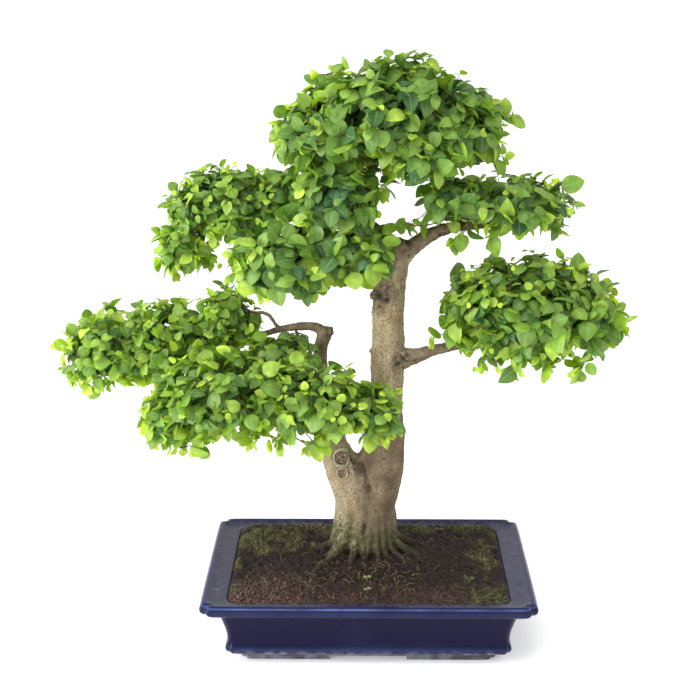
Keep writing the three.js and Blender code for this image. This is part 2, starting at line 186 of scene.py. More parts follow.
def apply_modifier(piece: Object, kind: str, **settings: Any) -> None:
    """Give a piece one modifier and apply it.

    Args:
        piece: The object to change.
        kind: The modifier's type name.
        **settings: The modifier's properties.
    """
    pick(piece)
    modifier = piece.modifiers.new(kind.title(), kind)
    for name, value in settings.items():
        setattr(modifier, name, value)
    bpy.ops.object.modifier_apply(modifier=modifier.name)


def points_of(piece: Object, what: str = "co") -> Array:
    """Read the places or normals of all vertices.

    Args:
        piece: A mesh object.
        what: "co" for places or "normal" for normals.

    Returns:
        One row for each vertex.
    """
    values = np.empty(len(piece.data.vertices) * 3)
    piece.data.vertices.foreach_get(what, values)
    return values.reshape(-1, 3)


def move_points(piece: Object, points: Array) -> None:
    """Write new places to all vertices."""
    piece.data.vertices.foreach_set("co", np.ascontiguousarray(points, float).ravel())
    piece.data.update()


def paint(piece: Object, name: str, values: Array) -> None:
    """Store a number on each vertex, for a finish to read.

    Args:
        piece: A mesh object.
        name: The attribute's name.
        values: One number for each vertex.
    """
    layer = piece.data.attributes.new(name, "FLOAT", "POINT")
    layer.data.foreach_set("value", np.ascontiguousarray(values, float))


def take_shape(piece: Object) -> tuple[Array, list[Array]]:
    """Take the points and faces of a modelled shape, and the shape away.

    Args:
        piece: The modelled object.

    Returns:
        Its points and its faces by number of corners.
    """
    points = points_of(piece)
    by_size: dict[int, list[list[int]]] = {}
    for polygon in piece.data.polygons:
        by_size.setdefault(len(polygon.vertices), []).append(list(polygon.vertices))
    bpy.data.objects.remove(piece)
    return points, [np.array(group) for group in by_size.values()]


def settle(piece: Object) -> None:
    """Carry a piece from pot-centred millimetres into the frame's metres, in its mesh."""
    piece.data.transform(Matrix.Translation(POT_MIDDLE) @ Matrix.Scale(MM, 4))
    piece.data.update()


class MeshPile:
    """Gathers the points and faces of many small parts of one piece."""

    # Faces that meet at a sharper bend than this keep a hard edge
    crease: ClassVar[float] = math.radians(130)

    def __init__(self) -> None:
        """Start empty."""
        self.points: list[Array] = []
        self.faces: dict[int, list[Array]] = {}
        self.marks: dict[str, list[Array]] = {}
        self.count = 0

    def add(self, points: Array, faces: Iterable[Array], **marks: Any) -> None:
        """Add one part.

        Args:
            points: The part's points, one in each row.
            faces: Arrays of corner numbers, one array for each number of corners.
            **marks: For each attribute, a number for the part or one for each point.
        """
        self.points.append(points)
        for group in faces:
            self.faces.setdefault(group.shape[1], []).append(group + self.count)
        for name, value in marks.items():
            self.marks.setdefault(name, []).append(np.broadcast_to(value, len(points)))
        self.count += len(points)

    def add_copies(self, points: Array, faces: Iterable[Array], frames: Array, places: Array,
                   **marks: Any) -> None:
        """Add many copies of one shape, each turned, scaled and placed.

        Args:
            points: The shape's points.
            faces: The shape's faces, as in add.
            frames: A 3 by 3 matrix for each copy.
            places: A point for each copy.
            **marks: For each attribute, one number for each copy or one for each point.
        """
        copies = len(places)
        placed = np.einsum("cij,nj->cni", frames, points) + places[:, None]
        steps = (np.arange(copies) * len(points))[:, None, None]
        spread = [(group[None] + steps).reshape(-1, group.shape[1]) for group in faces]
        full = {}
        for name, value in marks.items():
            per_copy = len(value) == copies and len(value) != len(points)
            full[name] = np.repeat(value, len(points)) if per_copy else np.tile(value, copies)
        self.add(placed.reshape(-1, 3), spread, **full)

    def add_tube(self, path: Array, radii: Array, sides: int, **marks: Any) -> None:
        """Add a round tube with closed ends.

        Args:
            path: The points of its middle line.
            radii: Its radius at each of them.
            sides: How many sides its section has.
            **marks: As in add.
        """
        heading = unit(np.gradient(path, axis=0))
        guide = np.array([0.0, 0.0, 1.0]) if abs(heading[0, 2]) < 0.8 else np.array([0.0, 1.0, 0.0])
        across = unit(np.cross(heading, guide))
        upper = np.cross(across, heading)
        turn = 2 * math.pi * np.arange(sides) / sides
        around = np.cos(turn)[None, :, None] * across[:, None]
        ring = around + np.sin(turn)[None, :, None] * upper[:, None]
        wall = (path[:, None] + radii[:, None, None] * ring).reshape(-1, 3)
        ends = path[0] - heading[0] * radii[0] * 0.5, path[-1] + heading[-1] * radii[-1]
        points = np.vstack([wall, *ends])
        this, after = np.arange(sides), (np.arange(sides) + 1) % sides
        steps = (np.arange(len(path) - 1) * sides)[:, None]
        quads = np.stack([this + steps, this + steps + sides, after + steps + sides, after + steps], -1)
        last = (len(path) - 1) * sides
        start = np.stack([this, after, np.full(sides, len(wall))], -1)
        end = np.stack([last + after, last + this, np.full(sides, len(wall) + 1)], -1)
        self.add(points, [quads.reshape(-1, 4), np.vstack([start, end])], **marks)

    def build(self, name: str, uv: str | None = None) -> Object:
        """Make the gathered parts one object.

        Args:
            name: The object's name.
            uv: The name of a UV map to make of the marks "along" and "aside".

        Returns:
            The new object, in millimetres.
        """
        corners = [np.concatenate([face.ravel() for face in group]) for group in self.faces.values()]
        sizes = [np.full(sum(map(len, group)), size) for size, group in self.faces.items()]
        corner, size = np.concatenate(corners), np.concatenate(sizes)
        points = np.vstack(self.points)
        mesh = bpy.data.meshes.new(name)
        mesh.vertices.add(len(points))
        mesh.vertices.foreach_set("co", points.ravel())
        mesh.loops.add(len(corner))
        mesh.loops.foreach_set("vertex_index", corner.astype(np.int32))
        mesh.polygons.add(len(size))
        mesh.polygons.foreach_set("loop_start", (np.cumsum(size) - size).astype(np.int32))
        mesh.update(calc_edges=True)
        piece = bpy.data.objects.new(name, mesh)
        bpy.context.scene.collection.objects.link(piece)
        marks = {key: np.concatenate(values) for key, values in self.marks.items()}
        if uv:
            layer = mesh.uv_layers.new(name=uv)
            pairs = np.stack([marks.pop("along")[corner], marks.pop("aside")[corner]], -1)
            layer.data.foreach_set("uv", pairs.ravel())
        for key, values in marks.items():
            paint(piece, key, values)
        pick(piece)
        bpy.ops.object.shade_smooth_by_angle(angle=self.crease)
        return piece


def hand_over(piece: Object, finishes: Sequence[Material], slot: str, *nodes: str) -> None:
    """Dress a finished piece, settle it in the frame and report it.

    Args:
        piece: The mesh object, in millimetres.
        finishes: Its materials, in the order of its material numbers.
        slot: The record's material slot, which is not used.
        *nodes: The frame's nodes that it stands for.
    """
    if not piece.data.materials:
        for finish in finishes:
            piece.data.materials.append(finish)
    settle(piece)
    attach(piece, ROOT_BODY)
    if nodes:
        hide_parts(*nodes)
    triangles = sum(len(face.vertices) - 2 for face in piece.data.polygons)
    log.info("%s: %d triangles", piece.name, triangles)


@dataclass(frozen=True)
class Finish:
    """A surface finish, made as a material of shader nodes."""

    name: str = "plain"

    def shade(self, tree: NodeTree, surface: Node, place: NodeSocket) -> None:
        """Add the finish's nodes.

        Args:
            tree: The material's node tree.
            surface: The shader node that carries the surface.
            place: The socket that gives the place on the piece, in metres.
        """
        raise NotImplementedError

    def make(self) -> Material:
        """Make the material.

        Returns:
            The finished material.
        """
        material = bpy.data.materials.new(self.name)
        material.use_nodes = True
        tree = material.node_tree
        surface = tree.nodes["Principled BSDF"]
        place = add_node(tree, "TexCoord").outputs["Object"]
        self.shade(tree, surface, place)
        return material


@dataclass(frozen=True)
class CobaltGlaze(Finish):
    """Fired cobalt glaze on stoneware: deep navy, bluer and lighter where the glaze thins over an
    edge, with a painted highlight line along the crown of the bead, a dull film on the flange
    where water dries, whose grey is dust and also a painted sheen, and a bloom of lime at the foot."""

    name: str = "cobalt_glaze"
    deep: str = "09062c"
    thin_glaze_and_highlight: str = "2a3156"
    # The colour of the painted highlight line along the bead's crown
    edge: str = "4d5c92"
    # The flange's film colour: dried dust and a painted sheen together
    film_of_dust_and_sheen: str = "454256"
    scuff: str = "8f8f9f"
    pinhole: str = "14142c"
    lime: str = "8f8f9c"

    def shade(self, tree: NodeTree, surface: Node, place: NodeSocket) -> None:
        """Add the glaze's nodes.

        Args:
            tree: The material's node tree.
            surface: The shader node that carries the surface.
            place: The socket that gives the place on the piece, in metres.
        """
        cloud = add_node(tree, "TexNoise", {"Vector": place, "Scale": per_feature(40), "Detail": 4.0})
        edge = add_node(tree, "Attribute", attribute_name="thin_glaze_and_highlight").outputs["Fac"]
        flange = add_node(tree, "Attribute", attribute_name="flange").outputs["Fac"]
        foot = add_node(tree, "Attribute", attribute_name="foot").outputs["Fac"]
        drift = add_node(tree, "MapRange", {"Value": cloud, "From Min": 0.3, "From Max": 0.7,
                         "To Min": -0.2, "To Max": 0.14})
        share = add_node(tree, "Math", {0: edge, 1: drift}, operation="ADD", use_clamp=True)
        runny = add_node(tree, "Mix", {SHARE: share, FIRST: self.deep, SECOND: self.thin_glaze_and_highlight},
                         data_type="RGBA")
        # Painted highlight: where the mark reaches its top, along the bead's crown and more faintly the
        # cavity's lip, the edge colour draws a highlight line
        crest = add_node(tree, "MapRange", {"Value": share, "From Min": 0.8, "From Max": 1.0,
                         "To Max": 0.9})
        glaze = add_node(tree, "Mix", {SHARE: crest, FIRST: runny, SECOND: self.edge}, data_type="RGBA")
        scuffs = add_node(tree, "TexNoise", {"Vector": place, "Scale": per_feature(11), "Detail": 8.0,
                          "Roughness": 0.7})
        streaks = add_node(tree, "MapRange", {"Value": scuffs, "From Min": 0.38, "From Max": 0.64,
                           "To Min": 0.2, "To Max": 1.0})
        # The flange's dull grey film is dried dust and also a painted sheen of the pale surroundings
        dust_and_sheen = add_node(tree, "Math", {0: flange, 1: streaks}, operation="MULTIPLY")
        dust_and_sheen_colour = add_node(tree, "Mix", {SHARE: dust_and_sheen, FIRST: glaze, SECOND: self.film_of_dust_and_sheen}, data_type="RGBA")
        # Scuffs where the flange is knocked, pale and some millimetres long
        knocks = add_node(tree, "TexNoise", {"Vector": place, "Scale": per_feature(9), "Detail": 4.0,
                          "Roughness": 0.75, "Distortion": 1.2})
        knock = add_node(tree, "MapRange", {"Value": knocks, "From Min": 0.61, "From Max": 0.68,
                         "To Min": 0.0, "To Max": 0.6})
        worn = add_node(tree, "Math", {0: flange, 1: knock}, operation="MULTIPLY")
        scuffed = add_node(tree, "Mix", {SHARE: worn, FIRST: dust_and_sheen_colour, SECOND: self.scuff},
                           data_type="RGBA")
        # Pinholes of the glaze, about a millimetre across and some way apart
        holes = add_node(tree, "TexVoronoi", {"Vector": place, "Scale": per_feature(16)})
        hole = add_node(tree, "MapRange", {"Value": holes, "From Min": 0.05, "From Max": 0.085,
                        "To Min": 0.75, "To Max": 0.0})
        pitted = add_node(tree, "Mix", {SHARE: hole, FIRST: scuffed, SECOND: self.pinhole},
                          data_type="RGBA")
        bloom = add_node(tree, "TexNoise", {"Vector": place, "Scale": per_feature(9), "Detail": 6.0})
        crust = add_node(tree, "MapRange", {"Value": bloom, "From Min": 0.44, "From Max": 0.68,
                         "To Min": 0.0, "To Max": 0.8})
        limed = add_node(tree, "Math", {0: foot, 1: crust}, operation="MULTIPLY")
        colour = add_node(tree, "Mix", {SHARE: limed, FIRST: pitted, SECOND: self.lime},
                          data_type="RGBA")
        dull = add_node(tree, "Math", {0: dust_and_sheen, 1: limed}, operation="MAXIMUM")
        gloss = add_node(tree, "MapRange", {"Value": dull, "To Min": 0.13, "To Max": 0.46})
        ripple = add_node(tree, "TexNoise", {"Vector": place, "Scale": per_feature(7), "Detail": 3.0})
        bump = add_node(tree, "Bump", {"Height": ripple, "Strength": 0.25, "Distance": 0.5 * MM})
        connect(tree, surface, {"Base Color": colour, "Roughness": gloss, "IOR": 1.52,
                "Specular IOR Level": 0.14, "Normal": bump})


@dataclass(frozen=True)
class BareStoneware(Finish):
    """Unglazed fired clay of the foot and the cavity: grey-beige and matt, with pale lime."""

    name: str = "bare_stoneware"
    clay: str = "454249"
    lime: str = "6c6c76"
    stain: str = "383436"

    def shade(self, tree: NodeTree, surface: Node, place: NodeSocket) -> None:
        """Add the clay's nodes.

        Args:
            tree: The material's node tree.
            surface: The shader node that carries the surface.
            place: The socket that gives the place on the piece, in metres.
        """
        patches = add_node(tree, "TexNoise", {"Vector": place, "Scale": per_feature(13), "Detail": 7.0})
        pale = add_node(tree, "MapRange", {"Value": patches, "From Min": 0.42, "From Max": 0.62})
        base = add_node(tree, "Mix", {SHARE: pale, FIRST: self.clay, SECOND: self.lime},
                        data_type="RGBA")
        grains = add_node(tree, "TexNoise", {"Vector": place, "Scale": per_feature(2.5), "Detail": 5.0})
        dark = add_node(tree, "MapRange", {"Value": grains, "From Min": 0.55, "From Max": 0.75,
                        "To Max": 0.8})
        colour = add_node(tree, "Mix", {SHARE: dark, FIRST: base, SECOND: self.stain}, data_type="RGBA")
        bump = add_node(tree, "Bump", {"Height": grains, "Strength": 0.6, "Distance": 0.6 * MM})
        connect(tree, surface, {"Base Color": colour, "Roughness": 0.88, "Normal": bump})


@dataclass(frozen=True)
class PrivetBark(Finish):
    """Privet bark: smooth, pale grey-beige and freckled with dark pores a millimetre or two
    across. It is darker and rougher on older wood and green with algae at the foot, and its
    pruning scars are rings of callus round hearts of cracked wood. Painted shade darkens its pits,
    grooves and crevices, the gaps between the roots and the middle and right of the lower trunk,
    and it is darker towards the soil line."""

    name: str = "privet_bark"
    pale: str = "d3c5a5"
    tan: str = "9f8c69"
    rust: str = "a07a55"
    pore: str = "43372a"
    # The colour of old bark, also used for painted shade on the lower trunk's middle and right
    age_and_shade: str = "6b5947"
    algae: str = "465026"
    scar_rim: str = "b3ac8c"
    scar_heart: str = "a38c75"
    crack: str = "3a3128"
    shadow: str = "2b231d"
    scars: tuple[Station, ...] = ()

    def shade(self, tree: NodeTree, surface: Node, place: NodeSocket) -> None:
        """Add the bark's nodes.

        Args:
            tree: The material's node tree.
            surface: The shader node that carries the surface.
            place: The socket that gives the place on the piece, in metres.
        """
        # Old bark, together with painted shade on the middle and right of the lower trunk
        age = add_node(tree, "Attribute", attribute_name="age_and_shade").outputs["Fac"]
        green = add_node(tree, "Attribute", attribute_name="green").outputs["Fac"]
        painted_shade = add_node(tree, "Attribute", attribute_name="painted_shade").outputs["Fac"]
        tall = add_node(tree, "Mapping", {"Vector": place, "Scale": (1.0, 1.0, 0.45)})
        blotches = add_node(tree, "TexNoise", {"Vector": tall, "Scale": per_feature(24), "Detail": 5.0,
                            "Roughness": 0.6})
        drift = add_node(tree, "MapRange", {"Value": blotches, "From Min": 0.36, "From Max": 0.66})
        base = add_node(tree, "Mix", {SHARE: drift, FIRST: self.pale, SECOND: self.tan},
                        data_type="RGBA")
        stains = add_node(tree, "TexNoise", {"Vector": tall, "Scale": per_feature(15), "Detail": 4.0,
                          "W": 3.0}, noise_dimensions="4D")
        stain = add_node(tree, "MapRange", {"Value": stains, "From Min": 0.5, "From Max": 0.72,
                         "To Max": 0.5})
        rusty = add_node(tree, "Mix", {SHARE: stain, FIRST: base, SECOND: self.rust}, data_type="RGBA")
        old = add_node(tree, "Mix", {SHARE: age, FIRST: rusty, SECOND: self.age_and_shade}, data_type="RGBA")
        tufts = add_node(tree, "TexNoise", {"Vector": place, "Scale": per_feature(4.5), "Detail": 4.0,
                         "Roughness": 0.7})
        patchy = add_node(tree, "MapRange", {"Value": tufts, "From Min": 0.38, "From Max": 0.58,
                          "To Min": 0.4, "To Max": 1.15})
        covered = add_node(tree, "Math", {0: green, 1: patchy}, operation="MULTIPLY", use_clamp=True)
        mossy = add_node(tree, "Mix", {SHARE: covered, FIRST: old, SECOND: self.algae},
                         data_type="RGBA")
        freckles = add_node(tree, "TexNoise", {"Vector": place, "Scale": per_feature(1.6),
                            "Detail": 3.0, "Roughness": 0.7, "Distortion": 0.4})
        pores = add_node(tree, "MapRange", {"Value": freckles, "From Min": 0.47, "From Max": 0.62,
                         "To Max": 0.8})
        freckled = add_node(tree, "Mix", {SHARE: pores, FIRST: mossy, SECOND: self.pore},
                            data_type="RGBA")
        healed = freckled
        for scar in self.scars:
            healed = self.heal(tree, place, healed, scar)
        # Painted shade: pits, grooves, crevices and the gaps between the roots are darkened towards the
        # shadow colour, and the bark is darker towards the soil line
        colour = add_node(tree, "Mix", {SHARE: painted_shade, FIRST: healed, SECOND: self.shadow},
                          data_type="RGBA")
        depth = add_node(tree, "Math", {0: freckles, 1: -1.0}, operation="MULTIPLY")
        bump = add_node(tree, "Bump", {"Height": depth, "Strength": 0.9, "Distance": 1.5 * MM})
        connect(tree, surface, {"Base Color": colour, "Roughness": 0.82, "Specular IOR Level": 0.25,
                "Normal": bump})

    def heal(self, tree: NodeTree, place: NodeSocket, bark: Node, scar: Station) -> Node:
        """Draw one pruning scar: a crack, a ring of callus, a groove and a heart of cracked wood.

        Args:
            tree: The material's node tree.
            place: The socket that gives the place on the piece, in metres.
            bark: The node that gives the colour of the bark round it.
            scar: Its middle from the middle of the pot, and its radius, in millimetres.

        Returns:
            The node that gives the colour with the scar.
        """
        middle = POT_MIDDLE + Vector(scar[:3]) * MM
        stretch = Vector((1.0, 0.3, 0.93)) / (scar[3] * MM)
        wander = add_node(tree, "TexNoise", {"Vector": place, "Scale": per_feature(6), "Detail": 2.0})
        shake = add_node(tree, "MapRange", {"Value": wander, "To Min": -0.28, "To Max": 0.28})
        near = add_node(tree, "Mapping", {"Vector": place, "Scale": stretch,
                        "Location": -middle * stretch})
        length = add_node(tree, "VectorMath", {0: near}, operation="LENGTH")
        reach = add_node(tree, "Math", {0: length, 1: shake}, operation="ADD")
        cells = add_node(tree, "TexVoronoi", {"Vector": place, "Scale": per_feature(3.4)},
                         feature="DISTANCE_TO_EDGE")
        cracks = add_node(tree, "MapRange", {"Value": cells, "From Min": 0.02, "From Max": 0.2,
                          "To Min": 0.9, "To Max": 0.1})
        heart = add_node(tree, "Mix", {SHARE: cracks, FIRST: self.scar_heart, SECOND: self.crack},
                         data_type="RGBA")
        inner = add_node(tree, "MapRange", {"Value": reach, "From Min": 0.58, "From Max": 0.62})
        colour = add_node(tree, "Mix", {SHARE: inner, FIRST: heart, SECOND: self.scar_rim},
                          data_type="RGBA")
        for groove, width in ((0.62, 0.06), (0.94, 0.05)):
            line = add_node(tree, "Math", {0: reach, 1: groove, 2: width}, operation="COMPARE")
            share = add_node(tree, "Math", {0: line, 1: 0.8}, operation="MULTIPLY")
            colour = add_node(tree, "Mix", {SHARE: share, FIRST: colour, SECOND: self.crack},
                              data_type="RGBA")
        outside = add_node(tree, "MapRange", {"Value": reach, "From Min": 0.95, "From Max": 1.0})
        return add_node(tree, "Mix", {SHARE: outside, FIRST: colour, SECOND: bark}, data_type="RGBA")


@dataclass(frozen=True)
class PrivetLeaf(Finish):
    """Privet leaf: a waxy upper skin with a soft sheen, which lets some light through. Young
    leaves are yellow-green, old ones a dark, cool green, and the veins are a little paler."""

    name: str = "privet_leaf"
    young: str = "c4db56"
    grown: str = "89ae47"
    old: str = "437444"
    vein: str = "b2c67a"
    side_veins: int = 6
    let_through: float = 0.5
    uv: str = "blade"

    def shade(self, tree: NodeTree, surface: Node, place: NodeSocket) -> None:
        """Add the leaf's nodes.

        Args:
            tree: The material's node tree.
            surface: The shader node that carries the surface.
            place: The socket that gives the place on the piece, in metres.
        """
        # The age mark also carries painted light: lighter at the pad's outline as the camera sees it, a
        # painted rim light, and darker in the inner layer, partly painted shade
        age = add_node(tree, "Attribute", attribute_name="age").outputs["Fac"]
        early = add_node(tree, "MapRange", {"Value": age, "From Max": 0.5})
        late = add_node(tree, "MapRange", {"Value": age, "From Min": 0.5})
        fresh = add_node(tree, "Mix", {SHARE: early, FIRST: self.young, SECOND: self.grown},
                         data_type="RGBA")
        green = add_node(tree, "Mix", {SHARE: late, FIRST: fresh, SECOND: self.old}, data_type="RGBA")
        spots = add_node(tree, "TexNoise", {"Vector": place, "Scale": per_feature(9), "Detail": 3.0})
        mottle = add_node(tree, "MapRange", {"Value": spots, "From Min": 0.3, "From Max": 0.7,
                          "To Min": 0.78, "To Max": 1.22})
        mottled = add_node(tree, "Mix", {SHARE: 1.0, FIRST: green, SECOND: mottle}, data_type="RGBA",
                           blend_type="MULTIPLY")
        blade = add_node(tree, "UVMap", uv_map=self.uv)
        parts = add_node(tree, "SeparateXYZ", {"Vector": blade})
        aside = add_node(tree, "Math", {0: parts.outputs["Y"], 1: 0.5}, operation="SUBTRACT")
        away = add_node(tree, "Math", {0: aside}, operation="ABSOLUTE")
        midrib = add_node(tree, "MapRange", {"Value": away, "From Min": 0.02, "From Max": 0.07,
                          "To Min": 0.42, "To Max": 0.0})
        lean = add_node(tree, "Math", {0: away, 1: -0.8, 2: parts.outputs["X"]},
                        operation="MULTIPLY_ADD")
        wave = add_node(tree, "Math", {0: lean, 1: 2 * math.pi * self.side_veins}, operation="MULTIPLY")
        crest = add_node(tree, "Math", {0: wave}, operation="SINE")
        ribs = add_node(tree, "MapRange", {"Value": crest, "From Min": 0.8, "From Max": 1.0,
                        "To Max": 0.2})
        veins = add_node(tree, "Math", {0: midrib, 1: ribs}, operation="MAXIMUM")
        colour = add_node(tree, "Mix", {SHARE: veins, FIRST: mottled, SECOND: self.vein},
                          data_type="RGBA")
        bump = add_node(tree, "Bump", {"Height": veins, "Strength": 0.5, "Distance": -0.5 * MM})
        glow = add_node(tree, "HueSaturation", {"Hue": 0.485, "Saturation": 1.05, "Value": 1.5,
                        "Color": colour})
        through = add_node(tree, "BsdfTranslucent", {"Color": glow})
        blend = add_node(tree, "MixShader", {0: self.let_through, 1: surface, 2: through})
        connect(tree, tree.nodes["Material Output"], {"Surface": blend})
        connect(tree, surface, {"Base Color": colour, "Roughness": 0.35, "Specular IOR Level": 0.5,
                "Normal": bump})


@dataclass(frozen=True)
class Humus(Finish):
    """Moist potting humus: nearly black crumbs with rusty and tan bits, lighter where it has
    dried, and a skin of moss where it stays wet."""

    name: str = "moist_humus"
    dark: str = "0d0908"
    brown: str = "3b2925"
    dry: str = "6a5248"
    moss_dark: str = "272818"
    moss_light: str = "605f3e"

    def shade(self, tree: NodeTree, surface: Node, place: NodeSocket) -> None:
        """Add the humus's nodes.

        Args:
            tree: The material's node tree.
            surface: The shader node that carries the surface.
            place: The socket that gives the place on the piece, in metres.
        """
        moss = add_node(tree, "Attribute", attribute_name="moss").outputs["Fac"]
        dry = add_node(tree, "Attribute", attribute_name="dry").outputs["Fac"]
        crumbs = add_node(tree, "TexNoise", {"Vector": place, "Scale": per_feature(4), "Detail": 6.0,
                          "Roughness": 0.7})
        mixed = add_node(tree, "MapRange", {"Value": crumbs, "From Min": 0.38, "From Max": 0.7})
        earth = add_node(tree, "Mix", {SHARE: mixed, FIRST: self.dark, SECOND: self.brown},
                         data_type="RGBA")
        grains = add_node(tree, "TexNoise", {"Vector": place, "Scale": per_feature(2.2), "Detail": 3.0})
        bits = add_node(tree, "MapRange", {"Value": grains, "From Min": 0.45, "From Max": 0.6})
        dried = add_node(tree, "Math", {0: dry, 1: bits}, operation="MULTIPLY")
        soil = add_node(tree, "Mix", {SHARE: dried, FIRST: earth, SECOND: self.dry}, data_type="RGBA")
        sprigs = add_node(tree, "Mix", {SHARE: bits, FIRST: self.moss_dark, SECOND: self.moss_light},
                          data_type="RGBA")
        colour = add_node(tree, "Mix", {SHARE: moss, FIRST: soil, SECOND: sprigs}, data_type="RGBA")
        bump = add_node(tree, "Bump", {"Height": crumbs, "Strength": 1.0, "Distance": 2.5 * MM})
        connect(tree, surface, {"Base Color": colour, "Roughness": 0.85, "Specular IOR Level": 0.3,
                "Normal": bump})


@dataclass(frozen=True)
class TwoTone(Finish):
    """A natural surface between two colours, by a number stored on each copy: moss, crumbs,
    dry fibres and seedling leaves differ so from one to the next."""

    name: str = "two_tone"
    first: str = "000000"
    second: str = "ffffff"
    roughness: float = 0.8
    grain: float = 1.5

    def shade(self, tree: NodeTree, surface: Node, place: NodeSocket) -> None:
        """Add the nodes.

        Args:
            tree: The material's node tree.
            surface: The shader node that carries the surface.
            place: The socket that gives the place on the piece, in metres.
        """
        tone = add_node(tree, "Attribute", attribute_name="tone").outputs["Fac"]
        base = add_node(tree, "Mix", {SHARE: tone, FIRST: self.first, SECOND: self.second},
                        data_type="RGBA")
        grains = add_node(tree, "TexNoise", {"Vector": place, "Scale": per_feature(self.grain),
                          "Detail": 3.0})
        shade = add_node(tree, "MapRange", {"Value": grains, "From Min": 0.3, "From Max": 0.7,
                         "To Min": 0.6, "To Max": 1.25})
        colour = add_node(tree, "Mix", {SHARE: 1.0, FIRST: base, SECOND: shade}, data_type="RGBA",
                          blend_type="MULTIPLY")
        connect(tree, surface, {"Base Color": colour, "Roughness": self.roughness,
                "Specular IOR Level": 0.3})


@dataclass(frozen=True)
class Netting(Finish):
    """Extruded polyethylene netting: near black, matt, with a faint drawn grain."""

    name: str = "polyethylene_netting"
    black: str = "1c1e1d"
    drawn: str = "2f3231"

    def shade(self, tree: NodeTree, surface: Node, place: NodeSocket) -> None:
        """Add the netting's nodes.

        Args:
            tree: The material's node tree.
            surface: The shader node that carries the surface.
            place: The socket that gives the place on the piece, in metres.
        """
        grain = add_node(tree, "TexNoise", {"Vector": place, "Scale": per_feature(2), "Detail": 2.0})
        colour = add_node(tree, "Mix", {SHARE: grain, FIRST: self.black, SECOND: self.drawn},
                          data_type="RGBA")
        connect(tree, surface, {"Base Color": colour, "Roughness": 0.55})


@dataclass(frozen=True)
class StudioPaper(Finish):
    """Plain white paper under the pot."""

    name: str = "studio_paper"
    white: str = "fbfbfb"
    glow: float = 0.22

    def shade(self, tree: NodeTree, surface: Node, place: NodeSocket) -> None:
        """Set the paper's sockets.

        Args:
            tree: The material's node tree.
            surface: The shader node that carries the surface.
            place: The socket that gives the place on the piece, in metres, which is not used here.
        """
        connect(tree, surface, {"Base Color": self.white, "Emission Color": "ffffff",
                "Emission Strength": self.glow, "Roughness": 0.9, "Specular IOR Level": 0.1})


class Outline(Enum):
    """Whose plan a level of the pot follows, as half its width and depth."""

    RIM = (176.0, 127.0)
    CAVITY = (148.5, 103.5)


class Corner(Enum):
    """How the pot's corners are shaped at a level."""

    NOTCHED = "notched"
    ROUND = "round"


@dataclass(frozen=True)
class Level:
    """One level of the pot's section."""

    outline: Outline
    inset: float
    height: float
    cut: float
    corner: Corner
    # How thin the glaze runs at a level; at its top it paints a highlight line
    thin_glaze_and_highlight: float = 0.0
    flange: float = 0.0
    foot: float = 0.0
    bare: bool = False


